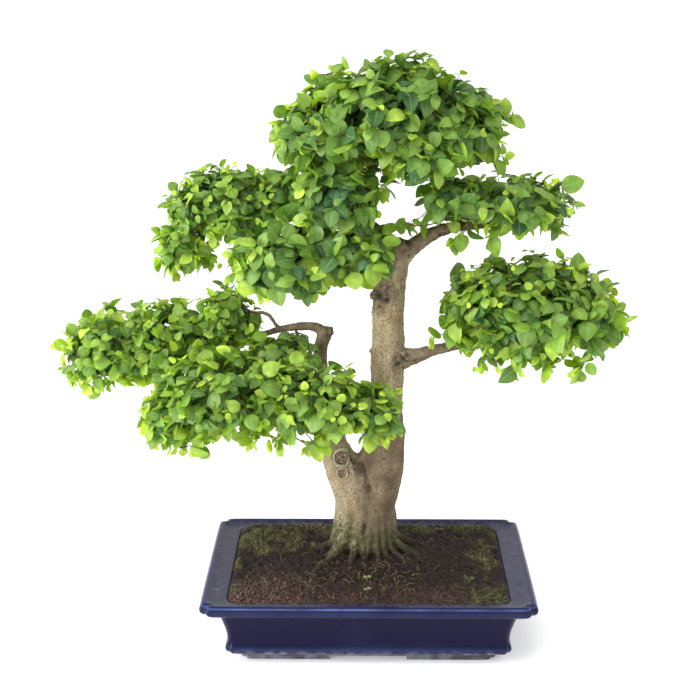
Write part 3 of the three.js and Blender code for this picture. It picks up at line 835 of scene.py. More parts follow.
@dataclass
class TrayPot:
    """The low rectangular tray, thrown in one piece with its rolled rim and bare foot."""

    corner_hump: float = 3.6
    corner_cut: float = 15.0
    corner_steps: int = 24
    side_steps: tuple[int, int] = (14, 10)
    softening: int = 5
    arch: tuple[float, float] = (82.0, 60.0)
    foot_height: float = 5.0
    drain_spacing: float = 140.0
    drain_radius: float = 7.0
    floor_top: float = 16.0
    crease: float = math.radians(40)

    def levels(self) -> list[Level]:
        """List the section from the underside outwards, over the rim and into the cavity.

        Returns:
            The levels, in order.
        """
        rim, cavity, notched, round_ = Outline.RIM, Outline.CAVITY, Corner.NOTCHED, Corner.ROUND
        return [
            Level(rim, 57, 6, 10, round_, bare=True),
            Level(rim, 56.4, 5, 10, round_, bare=True),
            Level(rim, 56, 0.8, 10, round_, bare=True),
            Level(rim, 55.2, 0, 10, round_, bare=True),
            Level(rim, 41, 0, 12, notched, bare=True),
            Level(rim, 40.1, 0.8, 12, notched, bare=True),
            Level(rim, 39.6, 6, 12, notched, bare=True),
            Level(rim, 39, 10.4, 12, notched, bare=True),
            Level(rim, 37.6, 11.2, 12, notched, foot=1),
            Level(rim, 32, 11.4, 11, notched, foot=1),
            Level(rim, 28.6, 11.9, 10, notched, foot=1),
            Level(rim, 26.3, 13.2, 10, notched, foot=0.85, thin_glaze_and_highlight=0.2),
            Level(rim, 24.9, 15.2, 10, notched, foot=0.35, thin_glaze_and_highlight=0.5),
            Level(rim, 24.5, 17.5, 10, notched, foot=0.1, thin_glaze_and_highlight=0.7),
            Level(rim, 24.9, 19.8, 10, notched, thin_glaze_and_highlight=0.5),
            Level(rim, 26, 22.2, 9.4, round_, thin_glaze_and_highlight=0.2),
            Level(rim, 26.9, 24.6, 9, round_),
            Level(rim, 27.1, 27.5, 9, round_),
            Level(rim, 26.7, 32, 9, round_),
            Level(rim, 25.6, 38, 9, round_),
            Level(rim, 23.9, 44.5, 9, round_),
            Level(rim, 21.7, 51.5, 9, round_),
            Level(rim, 19.4, 58, 9, round_),
            Level(rim, 17.6, 62.2, 9, round_),
            Level(rim, 15.6, 63.8, 10, round_),
            Level(rim, 11, 64.3, 12, round_),
            Level(rim, 6.5, 64.5, 14, notched),
            Level(rim, 3.6, 65.1, 14.4, notched),
            Level(rim, 1.5, 66.6, 15, notched, thin_glaze_and_highlight=0.1),
            Level(rim, 0.3, 68.8, 15, notched, thin_glaze_and_highlight=0.45),
            Level(rim, 0, 71, 15, notched, thin_glaze_and_highlight=0.5),
            Level(rim, 0.4, 73.2, 15, notched, thin_glaze_and_highlight=0.3),
            # The bead's crown, where the mark of 1 paints a highlight line
            Level(rim, 1.6, 75.2, 15, notched, thin_glaze_and_highlight=1),
            Level(rim, 3.3, 76.5, 15.4, notched, thin_glaze_and_highlight=0.7),
            Level(rim, 5.2, 77, 16.4, notched, thin_glaze_and_highlight=0.4),
            Level(rim, 6.9, 76.8, 18, round_, thin_glaze_and_highlight=0.5, flange=0.3),
            Level(rim, 8.6, 75.8, 18, round_, flange=0.8),
            Level(rim, 10.4, 74.5, 18, round_, flange=1),
            Level(rim, 13, 73.7, 17, round_, flange=1),
            Level(rim, 18, 73.2, 16, round_, flange=1),
            Level(cavity, -3.2, 73, 14, round_, flange=0.9),
            Level(cavity, -1.2, 72.7, 13.4, round_, flange=0.6, thin_glaze_and_highlight=0.5),
            # The cavity's lip, where the mark of 0.8 starts a faint painted highlight
            Level(cavity, -0.2, 71.8, 13, round_, thin_glaze_and_highlight=0.8),
            Level(cavity, 0.4, 69, 13, round_, thin_glaze_and_highlight=0.5),
            Level(cavity, 3, 45, 11, round_, bare=True),
            Level(cavity, 6, 21, 10, round_, bare=True),
            Level(cavity, 10, self.floor_top, 8, round_, bare=True),
        ]

    def ring(self, level: Level) -> Array:
        """Lay out the pot's plan at one level.

        Args:
            level: The level.

        Returns:
            The points of its outline, anticlockwise from above.
        """
        half_x, half_y = (half - level.inset for half in level.outline.value)
        share = np.linspace(0, 1, self.corner_steps + 1)
        if level.corner is Corner.NOTCHED:
            scale = self.corner_hump * level.cut / self.corner_cut
            hump = scale * np.sin(2 * math.pi * share) ** 2 / math.sqrt(2)
            corner = np.stack([-level.cut * share + hump, -level.cut * (1 - share) + hump], -1)
        else:
            turn = share * math.pi / 2
            corner = level.cut * np.stack([np.cos(turn) - 1, np.sin(turn) - 1], -1)
        mirrored = corner[::-1]
        corners = [
            corner + (half_x, half_y),
            mirrored * (-1, 1) + (-half_x, half_y),
            -corner - (half_x, half_y),
            mirrored * (1, -1) + (half_x, -half_y),
        ]
        points = []
        for k, this in enumerate(corners):
            after = corners[(k + 1) % 4]
            steps = np.linspace(0, 1, self.side_steps[k % 2] + 1)[1:-1, None]
            points += [this, this[-1] + steps * (after[0] - this[-1])]
        plan = np.vstack(points)
        for _ in range(self.softening):
            plan = (np.roll(plan, 1, 0) + 2 * plan + np.roll(plan, -1, 0)) / 4
        return np.column_stack([plan, np.full(len(plan), level.height)])

    def body(self) -> Object:
        """Loft the clay through its levels. The notched outline changes from level to level,
        which a plain extrusion can't follow.

        Returns:
            The closed body, with material 0 for the glaze and 1 for bare clay.
        """
        levels = self.levels()
        rings = [self.ring(level) for level in levels]
        count = len(rings[0])
        this, after = np.arange(count), (np.arange(count) + 1) % count
        steps = (np.arange(len(rings) - 1) * count)[:, None]
        quads = np.stack([this + steps, after + steps, after + steps + count, this + steps + count], -1)
        underside = np.stack([np.full(count, len(rings) * count), after, this], -1)
        last = (len(rings) - 1) * count
        floor = np.stack([np.full(count, len(rings) * count + 1), last + this, last + after], -1)
        ends = np.array([[0, 0, levels[0].height], [0, 0, levels[-1].height]])
        pile = MeshPile()
        per_point = {
            name: np.append(np.repeat([getattr(level, name) for level in levels], count), [0, 0])
            for name in ("thin_glaze_and_highlight", "flange", "foot")
        }
        pile.add(np.vstack([*rings, ends]), [quads.reshape(-1, 4), underside, floor], **per_point)
        pot = pile.build("tray_pot")
        bare = np.repeat([level.bare or below.bare for below, level in zip(levels, levels[1:])], count)
        bare = np.append(bare, np.ones(2 * count, bool)).astype(np.int32)
        pot.data.polygons.foreach_set("material_index", bare)
        return pot

    def cut(self, pot: Object, tool: Object) -> None:
        """Take one tool's shape out of the pot, and the tool away.

        Args:
            pot: The pot.
            tool: The shape to take out, which is removed.
        """
        apply_modifier(pot, "BOOLEAN", operation="DIFFERENCE", object=tool, solver="EXACT",
                       material_mode="TRANSFER")
        bpy.data.objects.remove(tool)

    def build(self, glaze: Material, clay: Material) -> None:
        """Make the pot, with its arches and drain holes, and hand it over.

        Args:
            glaze: The finish of the outside and the rim.
            clay: The finish of the foot and the cavity.
        """
        pot = self.body()
        pot.data.materials.append(glaze)
        pot.data.materials.append(clay)
        width, depth = (2 * half for half in Outline.RIM.value)
        for size in ((self.arch[0], depth), (width, self.arch[1])):
            bpy.ops.mesh.primitive_cube_add(size=1)
            arch = bpy.context.object
            arch.data.materials.append(clay)
            arch.data.transform(Matrix.Diagonal((*size, 2 * self.foot_height, 1)))
            self.cut(pot, arch)
        for side in (-1, 1):
            middle = (side * self.drain_spacing / 2, 0, self.floor_top)
            bpy.ops.mesh.primitive_cylinder_add(
                vertices=24, radius=self.drain_radius, depth=3 * self.floor_top, location=middle)
            drain = bpy.context.object
            drain.data.materials.append(clay)
            self.cut(pot, drain)
        pick(pot)
        bpy.ops.object.shade_smooth_by_angle(angle=self.crease)
        hand_over(pot, (glaze, clay), "pot_glaze", "pot")


@dataclass
class SoilMound:
    """The root ball, which fills the pot's cavity and is mounded up to the trunk."""

    half_width: float = 148.2
    half_depth: float = 103.2
    corner: float = 13.0
    pitch: float = 1.7
    underside: float = 18.0
    crease: float = math.radians(60)
    # How much narrower and shallower the underside is than the top
    taper: tuple[float, float, float] = (0.96, 0.945, 1.0)
    # The mound's height by the distance from the pot's wall
    insets: tuple[float, ...] = (0, 3, 8, 28, 52, 80, 120)
    heights: tuple[float, ...] = (71.4, 72.9, 74.2, 78.5, 83.4, 86, 86.5)

    def height(self, x: Array, y: Array) -> Array:
        """Give the height of the mound, without its crumbs.

        Args:
            x: Places from left to right.
            y: Places from front to back.

        Returns:
            The height at each place.
        """
        inset = np.minimum(self.half_width - np.abs(x), self.half_depth - np.abs(y))
        mound = np.interp(inset, self.insets, self.heights)
        hummock = 4.5 * smooth_step(y, 55, 92) * smooth_step(inset, 0.5, 9)
        return mound + hummock

    def moss(self, points: Array) -> Array:
        """Say how mossy the soil is: along the back, at the back left and down the right.

        Args:
            points: Places on the soil.

        Returns:
            A share from 0 to 1 for each place.
        """
        x, y = points[:, 0], points[:, 1]
        back = smooth_step(y, 42, 88)
        left = smooth_step(-x, 20, 90) * smooth_step(y, -35, 45)
        right = 0.68 * smooth_step(x, 70, 130)
        edge = 0.65 * smooth_step(np.abs(x), 122, 145)
        wet = np.maximum.reduce([back, left, right, edge])
        patches = noise_at(points * (1, 1, 0), 22, 4, 4.7)
        return smooth_step(wet + 0.8 * patches, 0.38, 1.15)

    def dryness(self, points: Array) -> Array:
        """Say how dry and pale the crumbs are: most at the front left.

        Args:
            points: Places on the soil.

        Returns:
            A share from 0 to 1 for each place.
        """
        x, y = points[:, 0], points[:, 1]
        front_left = smooth_step(-x, 15, 110) * smooth_step(-y, 25, 85)
        front = 0.45 * smooth_step(-y, 55, 95)
        patches = 0.25 * noise_at(points * (1, 1, 0), 18, 2, 9.1)
        return np.clip(np.maximum(front_left, front) + patches, 0, 1)

    def surface(self, x: Array, y: Array) -> Array:
        """Give points on the mound, with its lumps and its cushions of moss.

        Args:
            x: Places from left to right.
            y: Places from front to back.

        Returns:
            One point in each row.
        """
        points = np.column_stack([x, y, self.height(x, y)])
        inset = np.minimum(self.half_width - np.abs(x), self.half_depth - np.abs(y))
        lumps = 2.0 * noise_at(points, 15, 2, 1.3) + 2.6 * noise_at(points, 5.5, 3, 2.6)
        cushions = 1.8 * np.abs(noise_at(points, 8, 2, 7.7)) * self.moss(points)
        points[:, 2] += smooth_step(inset, 0.5, 7) * (lumps + cushions)
        return points

    def build(self, humus: Material) -> None:
        """Shape a fine grid into the mound, give it walls and an underside, and hand it over.

        Args:
            humus: The finish.
        """
        steps = [round(2 * half / self.pitch) for half in (self.half_width, self.half_depth)]
        bpy.ops.mesh.primitive_grid_add(x_subdivisions=steps[0], y_subdivisions=steps[1], size=2)
        soil = bpy.context.object
        soil.name = soil.data.name = "soil_humus"
        flat = points_of(soil)
        x, y = flat[:, 0] * self.half_width, flat[:, 1] * self.half_depth
        past_x = np.clip((np.abs(x) - (self.half_width - self.corner)) / self.corner, 0, 1)
        past_y = np.clip((np.abs(y) - (self.half_depth - self.corner)) / self.corner, 0, 1)
        x -= np.sign(x) * self.corner * past_x * (1 - np.sqrt(1 - past_y ** 2 / 2))
        y -= np.sign(y) * self.corner * past_y * (1 - np.sqrt(1 - past_x ** 2 / 2))
        points = self.surface(x, y)
        moss, dry = self.moss(points), self.dryness(points)
        move_points(soil, points)
        pick(soil)
        bpy.ops.object.mode_set(mode="EDIT")
        bpy.ops.mesh.select_all(action="SELECT")
        bpy.ops.mesh.region_to_loop()
        bpy.ops.mesh.extrude_edges_move()
        bpy.ops.transform.resize(value=self.taper)
        bpy.ops.mesh.edge_face_add()
        bpy.ops.mesh.select_all(action="SELECT")
        bpy.ops.mesh.normals_make_consistent(inside=False)
        bpy.ops.object.mode_set(mode="OBJECT")
        whole = points_of(soil)
        whole[len(points):, 2] = self.underside
        move_points(soil, whole)
        fill = len(whole) - len(points)
        paint(soil, "moss", np.append(moss, np.zeros(fill)))
        paint(soil, "dry", np.append(dry, np.zeros(fill)))
        bpy.ops.object.shade_smooth_by_angle(angle=self.crease)
        hand_over(soil, (humus,), "potting_soil", "soil")


class MarkKind(Enum):
    """What a spot on the bark is."""

    PIT = "pit"
    GROOVE = "groove"
    SCAR = "scar"
    KNOB = "knob"
    ROUGH = "rough"


@dataclass(frozen=True)
class BarkMark:
    """One spot on the bark that the photograph shows, as a place near the surface and how much
    painted shade darkens it, from 0 to 1. A long mark ends at another place."""

    kind: MarkKind
    at: tuple[float, float, float]
    radius: float
    depth: float
    to: tuple[float, float, float] | None = None
    dark: float = 0.7


@dataclass
class TreeWood:
    """Trunk, left stem, branches and surface roots, grown as one piece."""

    voxel: float = 1.65
    root_middle: tuple[float, float] = (-3.0, 24.0)
    root_twist: float = 0.25
    crown_of_soil: float = 86.0
    weight_steps: int = 4

    limbs: ClassVar[dict[str, list[Station]]] = {
        "trunk": [
            (-3, 26, 64, 40), (-2, 25, 90, 37), (2, 24, 108, 31.5), (3, 22, 138, 27.5),
            (11, 18, 168, 26), (14, 17, 190, 26), (17, 15, 214, 21.5), (19, 13, 248, 17.8),
            (20, 11, 326, 17.6), (20, 10, 368, 17), (25, 8, 418, 17.4), (28, 8, 436, 13.6),
        ],
        "left_stem": [
            (-18, 22, 84, 27), (-18, 20, 110, 21), (-18, 17, 146, 19.8), (-27, 14, 174, 19.2),
            (-33, 12, 192, 18), (-35, 10, 208, 12), (-40, 10, 238, 8.5), (-51, 12, 290, 7.9),
            (-51, 12, 322, 7.6), (-46, 12, 335, 6.9),
        ],
        "far_left_upper": [
            (-47, 12, 333, 6.1), (-57, 13, 339, 5.1), (-76, 16, 339, 4.5), (-99, 20, 334, 3.6),
            (-122, 24, 326, 3), (-186, 30, 311, 2.4),
        ],
        "far_left_lower": [
            (-41, 10, 244, 7.6), (-76, 12, 249, 5.4), (-156, 18, 264, 3.8), (-201, 22, 272, 3.3),
            (-248, 26, 285, 2.6),
        ],
        "near_left": [
            (-34, 6, 210, 9.8), (-52, -25, 234, 6.4), (-82, -50, 251, 4.7), (-118, -58, 258, 3.6),
        ],
        "near_left_fork": [(-52, -26, 235, 4.8), (-39, -50, 255, 3.2), (-24, -59, 264, 2.6)],
        "lower_right": [
            (22, 10, 301, 11.8), (36, 8, 306, 10.8), (51, 6, 310, 8.4), (67, 4, 316, 6.1),
            (110, 2, 326, 4.4),
        ],
        "upper_right": [
            (28, 8, 410, 11.5), (47, 4, 430, 8.8), (77, 0, 448, 6.3), (113, 2, 453, 5.2),
            (157, 6, 459, 4.2), (176, 8, 466, 3),
        ],
        "leader": [
            (26, 8, 414, 13.7), (17, 8, 432, 11), (7, 7, 443, 8.9), (-4, 6, 454, 7.8),
            (-8, 6, 469, 6.8), (-4, 6, 493, 6.2), (6, 8, 520, 5.2), (13, 10, 550, 3.8),
        ],
        "upper_left": [
            (-4, 6, 454, 6.3), (-14, 11, 460, 5.2), (-28, 18, 462, 4.5), (-68, 36, 457, 3.7),
            (-128, 48, 442, 2.8), (-156, 50, 436, 2.5),
        ],
        "crown_left": [(-7, 5, 468, 5.5), (-14, -8, 481, 3.8), (-23, -28, 492, 2.7)],
        "middle_left": [
            (17, 4, 380, 9), (4, -7, 398, 7.5), (-10, -21, 407, 5.7), (-30, -34, 414, 4.6),
            (-61, -40, 415, 3.4),
        ],
        "knee": [(-51, 12, 322, 7.6), (-45, 10, 334, 7.8), (-38, 8, 336, 3.2)],
        "shoulder": [(-24, 14, 182, 18), (-33, 12, 203, 13.6), (-34, 11, 211, 9)],
        "bare_twig": [
            (-92, 18, 335, 2.8), (-97, 16, 338, 2.4), (-109, 15, 353, 2.2), (-125, 14, 355.5, 1.9),
            (-142, 14, 365, 1.7), (-152, 14, 369, 1.5),
        ],
        "top_twig": [(34, 8, 590, 2), (45, 8, 614, 1.6), (45.5, 8, 627, 1.3)],
    }
    # As bearing in degrees, reach and radius at the trunk
    roots: ClassVar[list[tuple[float, float, float]]] = [
        (18, 66, 11), (78, 60, 10), (132, 62, 11), (182, 62, 10), (204, 60, 8), (218, 92, 9),
        (240, 62, 8), (258, 54, 8), (281, 52, 8), (299, 62, 8), (314, 58, 7), (328, 66, 8),
        (346, 72, 9),
    ]
    # From trunk to tip, as share of the reach, height and share of the radius
    root_course: ClassVar[list[tuple[float, float, float]]] = [
        (0.25, 104, 1.1), (0.46, 92, 0.85), (0.66, 86.5, 0.52), (0.84, 84.5, 0.34), (1, 82, 0.2),
    ]

    marks: ClassVar[list[BarkMark]] = [
        BarkMark(MarkKind.SCAR, (-29, -8, 197.8), 11, 2.6, dark=0.75),
        BarkMark(MarkKind.SCAR, (-29, -8, 180.7), 7.6, 2.0, dark=0.6),
        BarkMark(MarkKind.GROOVE, (-13, 0, 200), 8, 5, (-9, 0, 180)),
        BarkMark(MarkKind.GROOVE, (-9, 0, 182), 6, 4, (-1, -4, 161)),
        BarkMark(MarkKind.GROOVE, (-1, -4, 161), 8, 1.2, (-5, -10, 124), 0.35),
        BarkMark(MarkKind.PIT, (1.5, -4, 162), 2.6, 2.4),
        BarkMark(MarkKind.PIT, (-5, -12, 119), 4.2, 4.0, (-6, -14, 112), 0.6),
        BarkMark(MarkKind.KNOB, (0, 6, 314), 6.5, 3.2),
        BarkMark(MarkKind.KNOB, (3, 2, 358), 8, 3.5),
        BarkMark(MarkKind.KNOB, (6, 0, 377), 9, 4.5),
        BarkMark(MarkKind.KNOB, (2, 2, 396), 8, 4),
        BarkMark(MarkKind.PIT, (19.6, -8, 374), 4.4, 3.6),
        BarkMark(MarkKind.KNOB, (15, -8, 370), 5, 2.5),
        BarkMark(MarkKind.PIT, (10, -6, 366), 3, 2.2),
        BarkMark(MarkKind.KNOB, (34, 0, 418), 6, 2.6),
        BarkMark(MarkKind.PIT, (41, -2, 421), 3.4, 2.6),
        BarkMark(MarkKind.ROUGH, (8, -4, 380), 26, 3.0, dark=0.9),
        BarkMark(MarkKind.ROUGH, (12, -4, 412), 22, 3.4, dark=0.95),
        BarkMark(MarkKind.ROUGH, (29, 8, 434), 21, 3.6, dark=0.95),
        BarkMark(MarkKind.ROUGH, (38, 4, 306), 19, 2.4, dark=0.9),
        BarkMark(MarkKind.ROUGH, (80, 2, 450), 34, 1.6, dark=0.85),
        BarkMark(MarkKind.ROUGH, (-46, 10, 334), 16, 2.0, dark=0.85),
        BarkMark(MarkKind.ROUGH, (-44, 8, 246), 13, 1.4, dark=0.8),
    ]

    def scar_places(self) -> tuple[Station, ...]:
        """Give the middle and the radius of each pruning scar."""
        return tuple((*mark.at, mark.radius) for mark in self.marks if mark.kind is MarkKind.SCAR)

    def root_stations(self) -> list[list[Station]]:
        """Lay the surface roots out around the trunk's foot.

        Returns:
            The stations of each root.
        """
        courses = []
        for bearing, reach, radius in self.roots:
            stations = []
            for share, height, girth in self.root_course:
                side = 1 if math.cos(math.radians(bearing)) < 0 else -1
                turn = math.radians(bearing) + side * self.root_twist * share
                stations.append((
                    self.root_middle[0] + reach * share * math.cos(turn),
                    self.root_middle[1] + reach * share * math.sin(turn),
                    height, radius * girth,
                ))
            courses.append(stations)
        return courses

    def middle_lines(self, step: float = 4.0) -> Array:
        """Sample the middle lines of the branches.

        Args:
            step: The spacing along each limb.

        Returns:
            Rows of place and radius.
        """
        samples = []
        for stations in self.limbs.values():
            ends = np.array(stations, float)
            for first, second in zip(ends, ends[1:]):
                count = max(2, round(np.linalg.norm((second - first)[:3]) / step))
                share = np.linspace(0, 1, count, endpoint=False)[:, None]
                samples.append(first + share * (second - first))
            samples.append(ends[-1:])
        return np.vstack(samples)

    def skin(self) -> Object:
        """Sweep every limb and root, and draw one skin over them all.

        Returns:
            The raw wood, in millimetres.
        """
        curve = bpy.data.curves.new("tree_bark", "CURVE")
        curve.dimensions = "3D"
        curve.bevel_depth = 1.0
        curve.bevel_resolution = 5
        curve.resolution_u = 8
        curve.use_fill_caps = True
        for stations in [*self.limbs.values(), *self.root_stations()]:
            spline = curve.splines.new("BEZIER")
            spline.bezier_points.add(len(stations) - 1)
            for point, (x, y, z, radius) in zip(spline.bezier_points, stations):
                point.co = (x, y, z)
                point.radius = radius
                point.handle_left_type = point.handle_right_type = "AUTO"
        wood = bpy.data.objects.new("tree_bark", curve)
        bpy.context.scene.collection.objects.link(wood)
        pick(wood)
        bpy.ops.object.convert(target="MESH")
        wood = bpy.context.object
        apply_modifier(wood, "REMESH", mode="VOXEL", voxel_size=self.voxel, adaptivity=0.0)
        heights = points_of(wood)[:, 2]
        group = wood.vertex_groups.new(name="thick")
        weights = (1 - smooth_step(heights, 205, 235)) * (0.2 + 0.8 * smooth_step(heights, 102, 128))
        for level in range(1, self.weight_steps + 1):
            chosen = np.flatnonzero(np.round(weights * self.weight_steps) == level)
            group.add(chosen.tolist(), level / self.weight_steps, "REPLACE")
        apply_modifier(wood, "SMOOTH", factor=0.6, iterations=10, vertex_group="thick")
        apply_modifier(wood, "SMOOTH", factor=0.5, iterations=2)
        wood.vertex_groups.clear()
        return wood

    def build(self, bark: Material) -> None:
        """Sculpt the bark into the skin and hand the wood over.

        Args:
            bark: The finish.
        """
        wood = self.skin()
        points, normals = points_of(wood), points_of(wood, "normal")
        lines = self.middle_lines()
        tree = KDTree(len(lines))
        for number, row in enumerate(lines):
            tree.insert(row[:3], number)
        tree.balance()
        radius = np.array([lines[tree.find(point)[1], 3] for point in points])
        thick = smooth_step(radius, 3, 15)
        x, y, z = points.T
        rise = z - self.crown_of_soil
        crests = self.root_crests(x, y)
        low = np.exp(-np.clip(rise, 0, None) / 17)
        depth = 6.0 * low * (crests - 0.75)
        depth += thick * 1.5 * noise_at(points * (1, 1, 0.4), 20, 2, 3.1)
        depth += (0.35 + 0.45 * thick) * noise_at(points * (1, 1, 0.6), 6, 2, 5.9)
        depth += 0.3 * noise_at(points, 2.6, 2, 8.2)
        age_and_shade = np.maximum(1 - smooth_step(radius, 6, 13), smooth_step(z, 395, 440)) * 0.8
        # Painted shade: dark between the roots' crests, and darker towards the soil line
        near_soil = 1 - smooth_step(rise + 3 * noise_at(points, 9, 2, 4.4), 0, 14)
        painted_shade = np.maximum(0.95 * low * (1 - crests) ** 1.3, 0.88 * near_soil).clip(0, 0.9)
        rough_noise = noise_at(points, 4.5, 3, 6.4)
        for mark in self.marks:
            self.sculpt(mark, points, rough_noise, depth, age_and_shade, painted_shade)
        move_points(wood, points + depth[:, None] * normals)
        left = smooth_step(-x, -10, 30)
        algae = 1 - smooth_step(rise + 9 * noise_at(points, 11, 3, 2.2), 8, 40 + 24 * left)
        tinge = 0.22 * (1 - smooth_step(rise, 30, 90))
        paint(wood, "green", (0.85 * algae + tinge).clip(0, 0.88))
        # Painted shade on the side away from the key light: the middle and right of the lower trunk,
        # and the trunk's right edge, darken towards the old bark's colour
        painted_side_shade = 0.75 * smooth_step(x, -18, 0) * (1 - smooth_step(z, 235, 275))
        painted_side_shade = np.maximum(painted_side_shade, 0.35 * smooth_step(x, 20, 33))
        age_and_shade = np.maximum(age_and_shade, painted_side_shade)
        paint(wood, "age_and_shade", np.clip(age_and_shade + 0.3 * noise_at(points, 15, 2, 1.9), 0, 1))
        paint(wood, "painted_shade", painted_shade)
        pick(wood)
        bpy.ops.object.shade_smooth()
        hand_over(wood, (bark,), "bark", "tree_wood")

    def root_crests(self, x: Array, y: Array) -> Array:
        """Say how near places are to the line of a root, round the foot of the trunk.

        Args:
            x: Places from left to right.
            y: Places from front to back.

        Returns:
            1 on a root's line and 0 midway between two roots, for each place.
        """
        off_x, off_y = x - self.root_middle[0], y - self.root_middle[1]
        spread = np.hypot(off_x, off_y)
        bearings = np.radians([bearing for bearing, _, _ in self.roots])
        side = np.where(np.cos(bearings) < 0, 1, -1)
        turned = bearings + side * self.root_twist * np.clip(spread / 64, 0, 1)[:, None]
        apart = np.arctan2(off_y, off_x)[:, None] - turned
        between = np.abs((apart + math.pi) % (2 * math.pi) - math.pi)
        nearest, second = np.sort(between, axis=1)[:, :2].T
        return 1 - (2 * nearest / (nearest + second)) ** 2

    @staticmethod
    def sculpt(mark: BarkMark, points: Array, rough: Array, depth: Array, age_and_shade: Array,
               painted_shade: Array) -> None:
        """Press or raise one mark in the bark.

        Args:
            mark: The mark.
            points: The wood's vertices.
            rough: Noise at each of them.
            depth: How far each moves out, which is added to.
            age_and_shade: How dark and old the bark is at each, which is added to.
            painted_shade: How dark and deep each lies, as painted shade, which is added to.
        """
        start, end = (
            points[np.argmin(np.linalg.norm(points - place, axis=1))]
            for place in (mark.at, mark.to or mark.at)
        )
        run = end - start
        part = ((points - start) @ run / max(run @ run, 1e-9)).clip(0, 1)
        share = np.linalg.norm(points - start - part[:, None] * run, axis=1) / mark.radius
        dome = np.clip(1 - share ** 2, 0, 1) ** 2
        # Pits, grooves and the low parts of rough bark get painted shade in their recesses
        if mark.kind is MarkKind.PIT:
            depth -= mark.depth * dome
            painted_shade[:] = np.maximum(painted_shade, smooth_step(dome, 0.1, 0.8) * mark.dark)
        elif mark.kind is MarkKind.GROOVE:
            depth -= mark.depth * dome
            broken = 1 - 0.6 * smooth_step(rough, 0.0, 0.5)
            painted_shade[:] = np.maximum(painted_shade, smooth_step(dome, 0.1, 1.0) * mark.dark * broken)
        elif mark.kind is MarkKind.KNOB:
            depth += mark.depth * dome * (1 + 0.35 * rough)
        elif mark.kind is MarkKind.ROUGH:
            depth += mark.depth * dome * rough
            age_and_shade[:] = np.maximum(age_and_shade, 0.9 * np.sqrt(dome))
            painted_shade[:] = np.maximum(painted_shade, np.sqrt(dome) * smooth_step(-rough, -0.1, 0.45) * mark.dark)
        else:
            ridge = np.exp(-((share - 0.78) / 0.16) ** 2)
            cup = 1 - smooth_step(share, 0.35, 0.68)
            depth += mark.depth * (ridge - 0.7 * cup) + 0.5 * cup * rough


@dataclass(frozen=True)
class BladeForm:
    """One form of privet blade, a unit long from stalk to tip."""

    breadth: float
    blunt: float
    fold: float
    droop: float
    twist: float
    cup: float = 0.05
    point: float = 0.7
    rows: int = 6
    columns: int = 2
    thickness: float = 0.02
    stalk: float = 0.13
    stalk_radius: float = 0.026
    # How far the stalk laps the blade's foot, and how far below it lies
    stalk_lap: float = 0.03
    stalk_drop: float = 0.012

    def place(self, along: float, aside: float, face: float) -> tuple[float, float, float]:
        """Bend a point of the flat pattern into the blade.

        Args:
            along: From 0 at the stalk to 1 at the tip.
            aside: From -1 at one edge to 1 at the other.
            face: 0 for the upper face and -1 for the lower.

        Returns:
            The point on the blade.
        """
        power = 0.6 if along < 0.45 else self.point
        swell = max(math.sin(math.pi * along ** self.blunt), 0.0) ** power
        half = self.breadth / 2 * swell
        inner = 1 - abs(aside)
        bow = self.droop * (0.4 * along - along ** 2)
        rise = self.fold * abs(aside) * half + self.cup * half * math.sin(math.pi * abs(aside))
        lean = self.twist * (along - 0.4) * aside * half
        height = bow + rise + lean + face * self.thickness * inner * min(1.0, 4 * swell)
        return along - 0.18 * max(self.droop, 0) * along ** 2, aside * half, height

    def model(self) -> Blade:
        """Model the blade from two grids that share their edge, and its stalk.

        Returns:
            Its points, its faces by number of corners, and how far each point lies along the
            blade and aside.
        """
        sides = []
        for face, columns in ((0, self.columns), (-1, 2)):
            bpy.ops.mesh.primitive_grid_add(x_subdivisions=self.rows, y_subdivisions=columns, size=2)
            side = bpy.context.object
            flat = points_of(side)
            move_points(side, np.array([self.place((x + 1) / 2, y, face) for x, y, _ in flat]))
            paint(side, "along", (flat[:, 0] + 1) / 2)
            paint(side, "aside", (flat[:, 1] + 1) / 2)
            if face:
                side.data.flip_normals()
            sides.append(side)
        bpy.ops.mesh.primitive_cone_add(
            vertices=3, radius1=self.stalk_radius, radius2=0, depth=self.stalk)
        stalk = bpy.context.object
        place = Matrix.Translation((self.stalk_lap - self.stalk / 2, 0, -self.stalk_drop))
        stalk.data.transform(place @ Matrix.Rotation(math.pi / 2, 4, "Y"))
        paint(stalk, "along", np.zeros(len(stalk.data.vertices)))
        paint(stalk, "aside", np.full(len(stalk.data.vertices), 0.5))
        pick(sides[0])
        sides[1].select_set(True)
        stalk.select_set(True)
        bpy.ops.object.join()
        blade = bpy.context.object
        bpy.ops.object.mode_set(mode="EDIT")
        bpy.ops.mesh.select_all(action="SELECT")
        bpy.ops.mesh.remove_doubles(threshold=1e-5)
        bpy.ops.object.mode_set(mode="OBJECT")
        along, aside = np.empty((2, len(blade.data.vertices)))
        blade.data.attributes["along"].data.foreach_get("value", along)
        blade.data.attributes["aside"].data.foreach_get("value", aside)
        return *take_shape(blade), along, aside


@dataclass(frozen=True)
class Lobe:
    """One rounded mass of a pad: its middle, half-widths, rise and drop."""

    at: tuple[float, float, float]
    rx: float
    ry: float
    up: float
    down: float

    def size(self, directions: Array) -> Array:
        """Give the half-lengths along X, Y and Z in each direction."""
        rise = np.where(directions[:, 2] > 0, self.up, self.down)
        return np.column_stack([np.full(len(rise), self.rx), np.full(len(rise), self.ry), rise])

    def depth(self, points: Array) -> Array:
        """Say how far out points lie: 0 in the middle and 1 on the outline."""
        off = points - self.at
        return np.linalg.norm(off / self.size(off), axis=1)

    def area(self) -> float:
        """Estimate the area of the lobe's outline.

        Returns:
            The area in square millimetres.
        """
        rise, power = (self.up + self.down) / 2, 1.6
        products = np.array([self.rx * self.ry, self.rx * rise, self.ry * rise])
        return float(4 * math.pi * np.mean(products ** power) ** (1 / power))


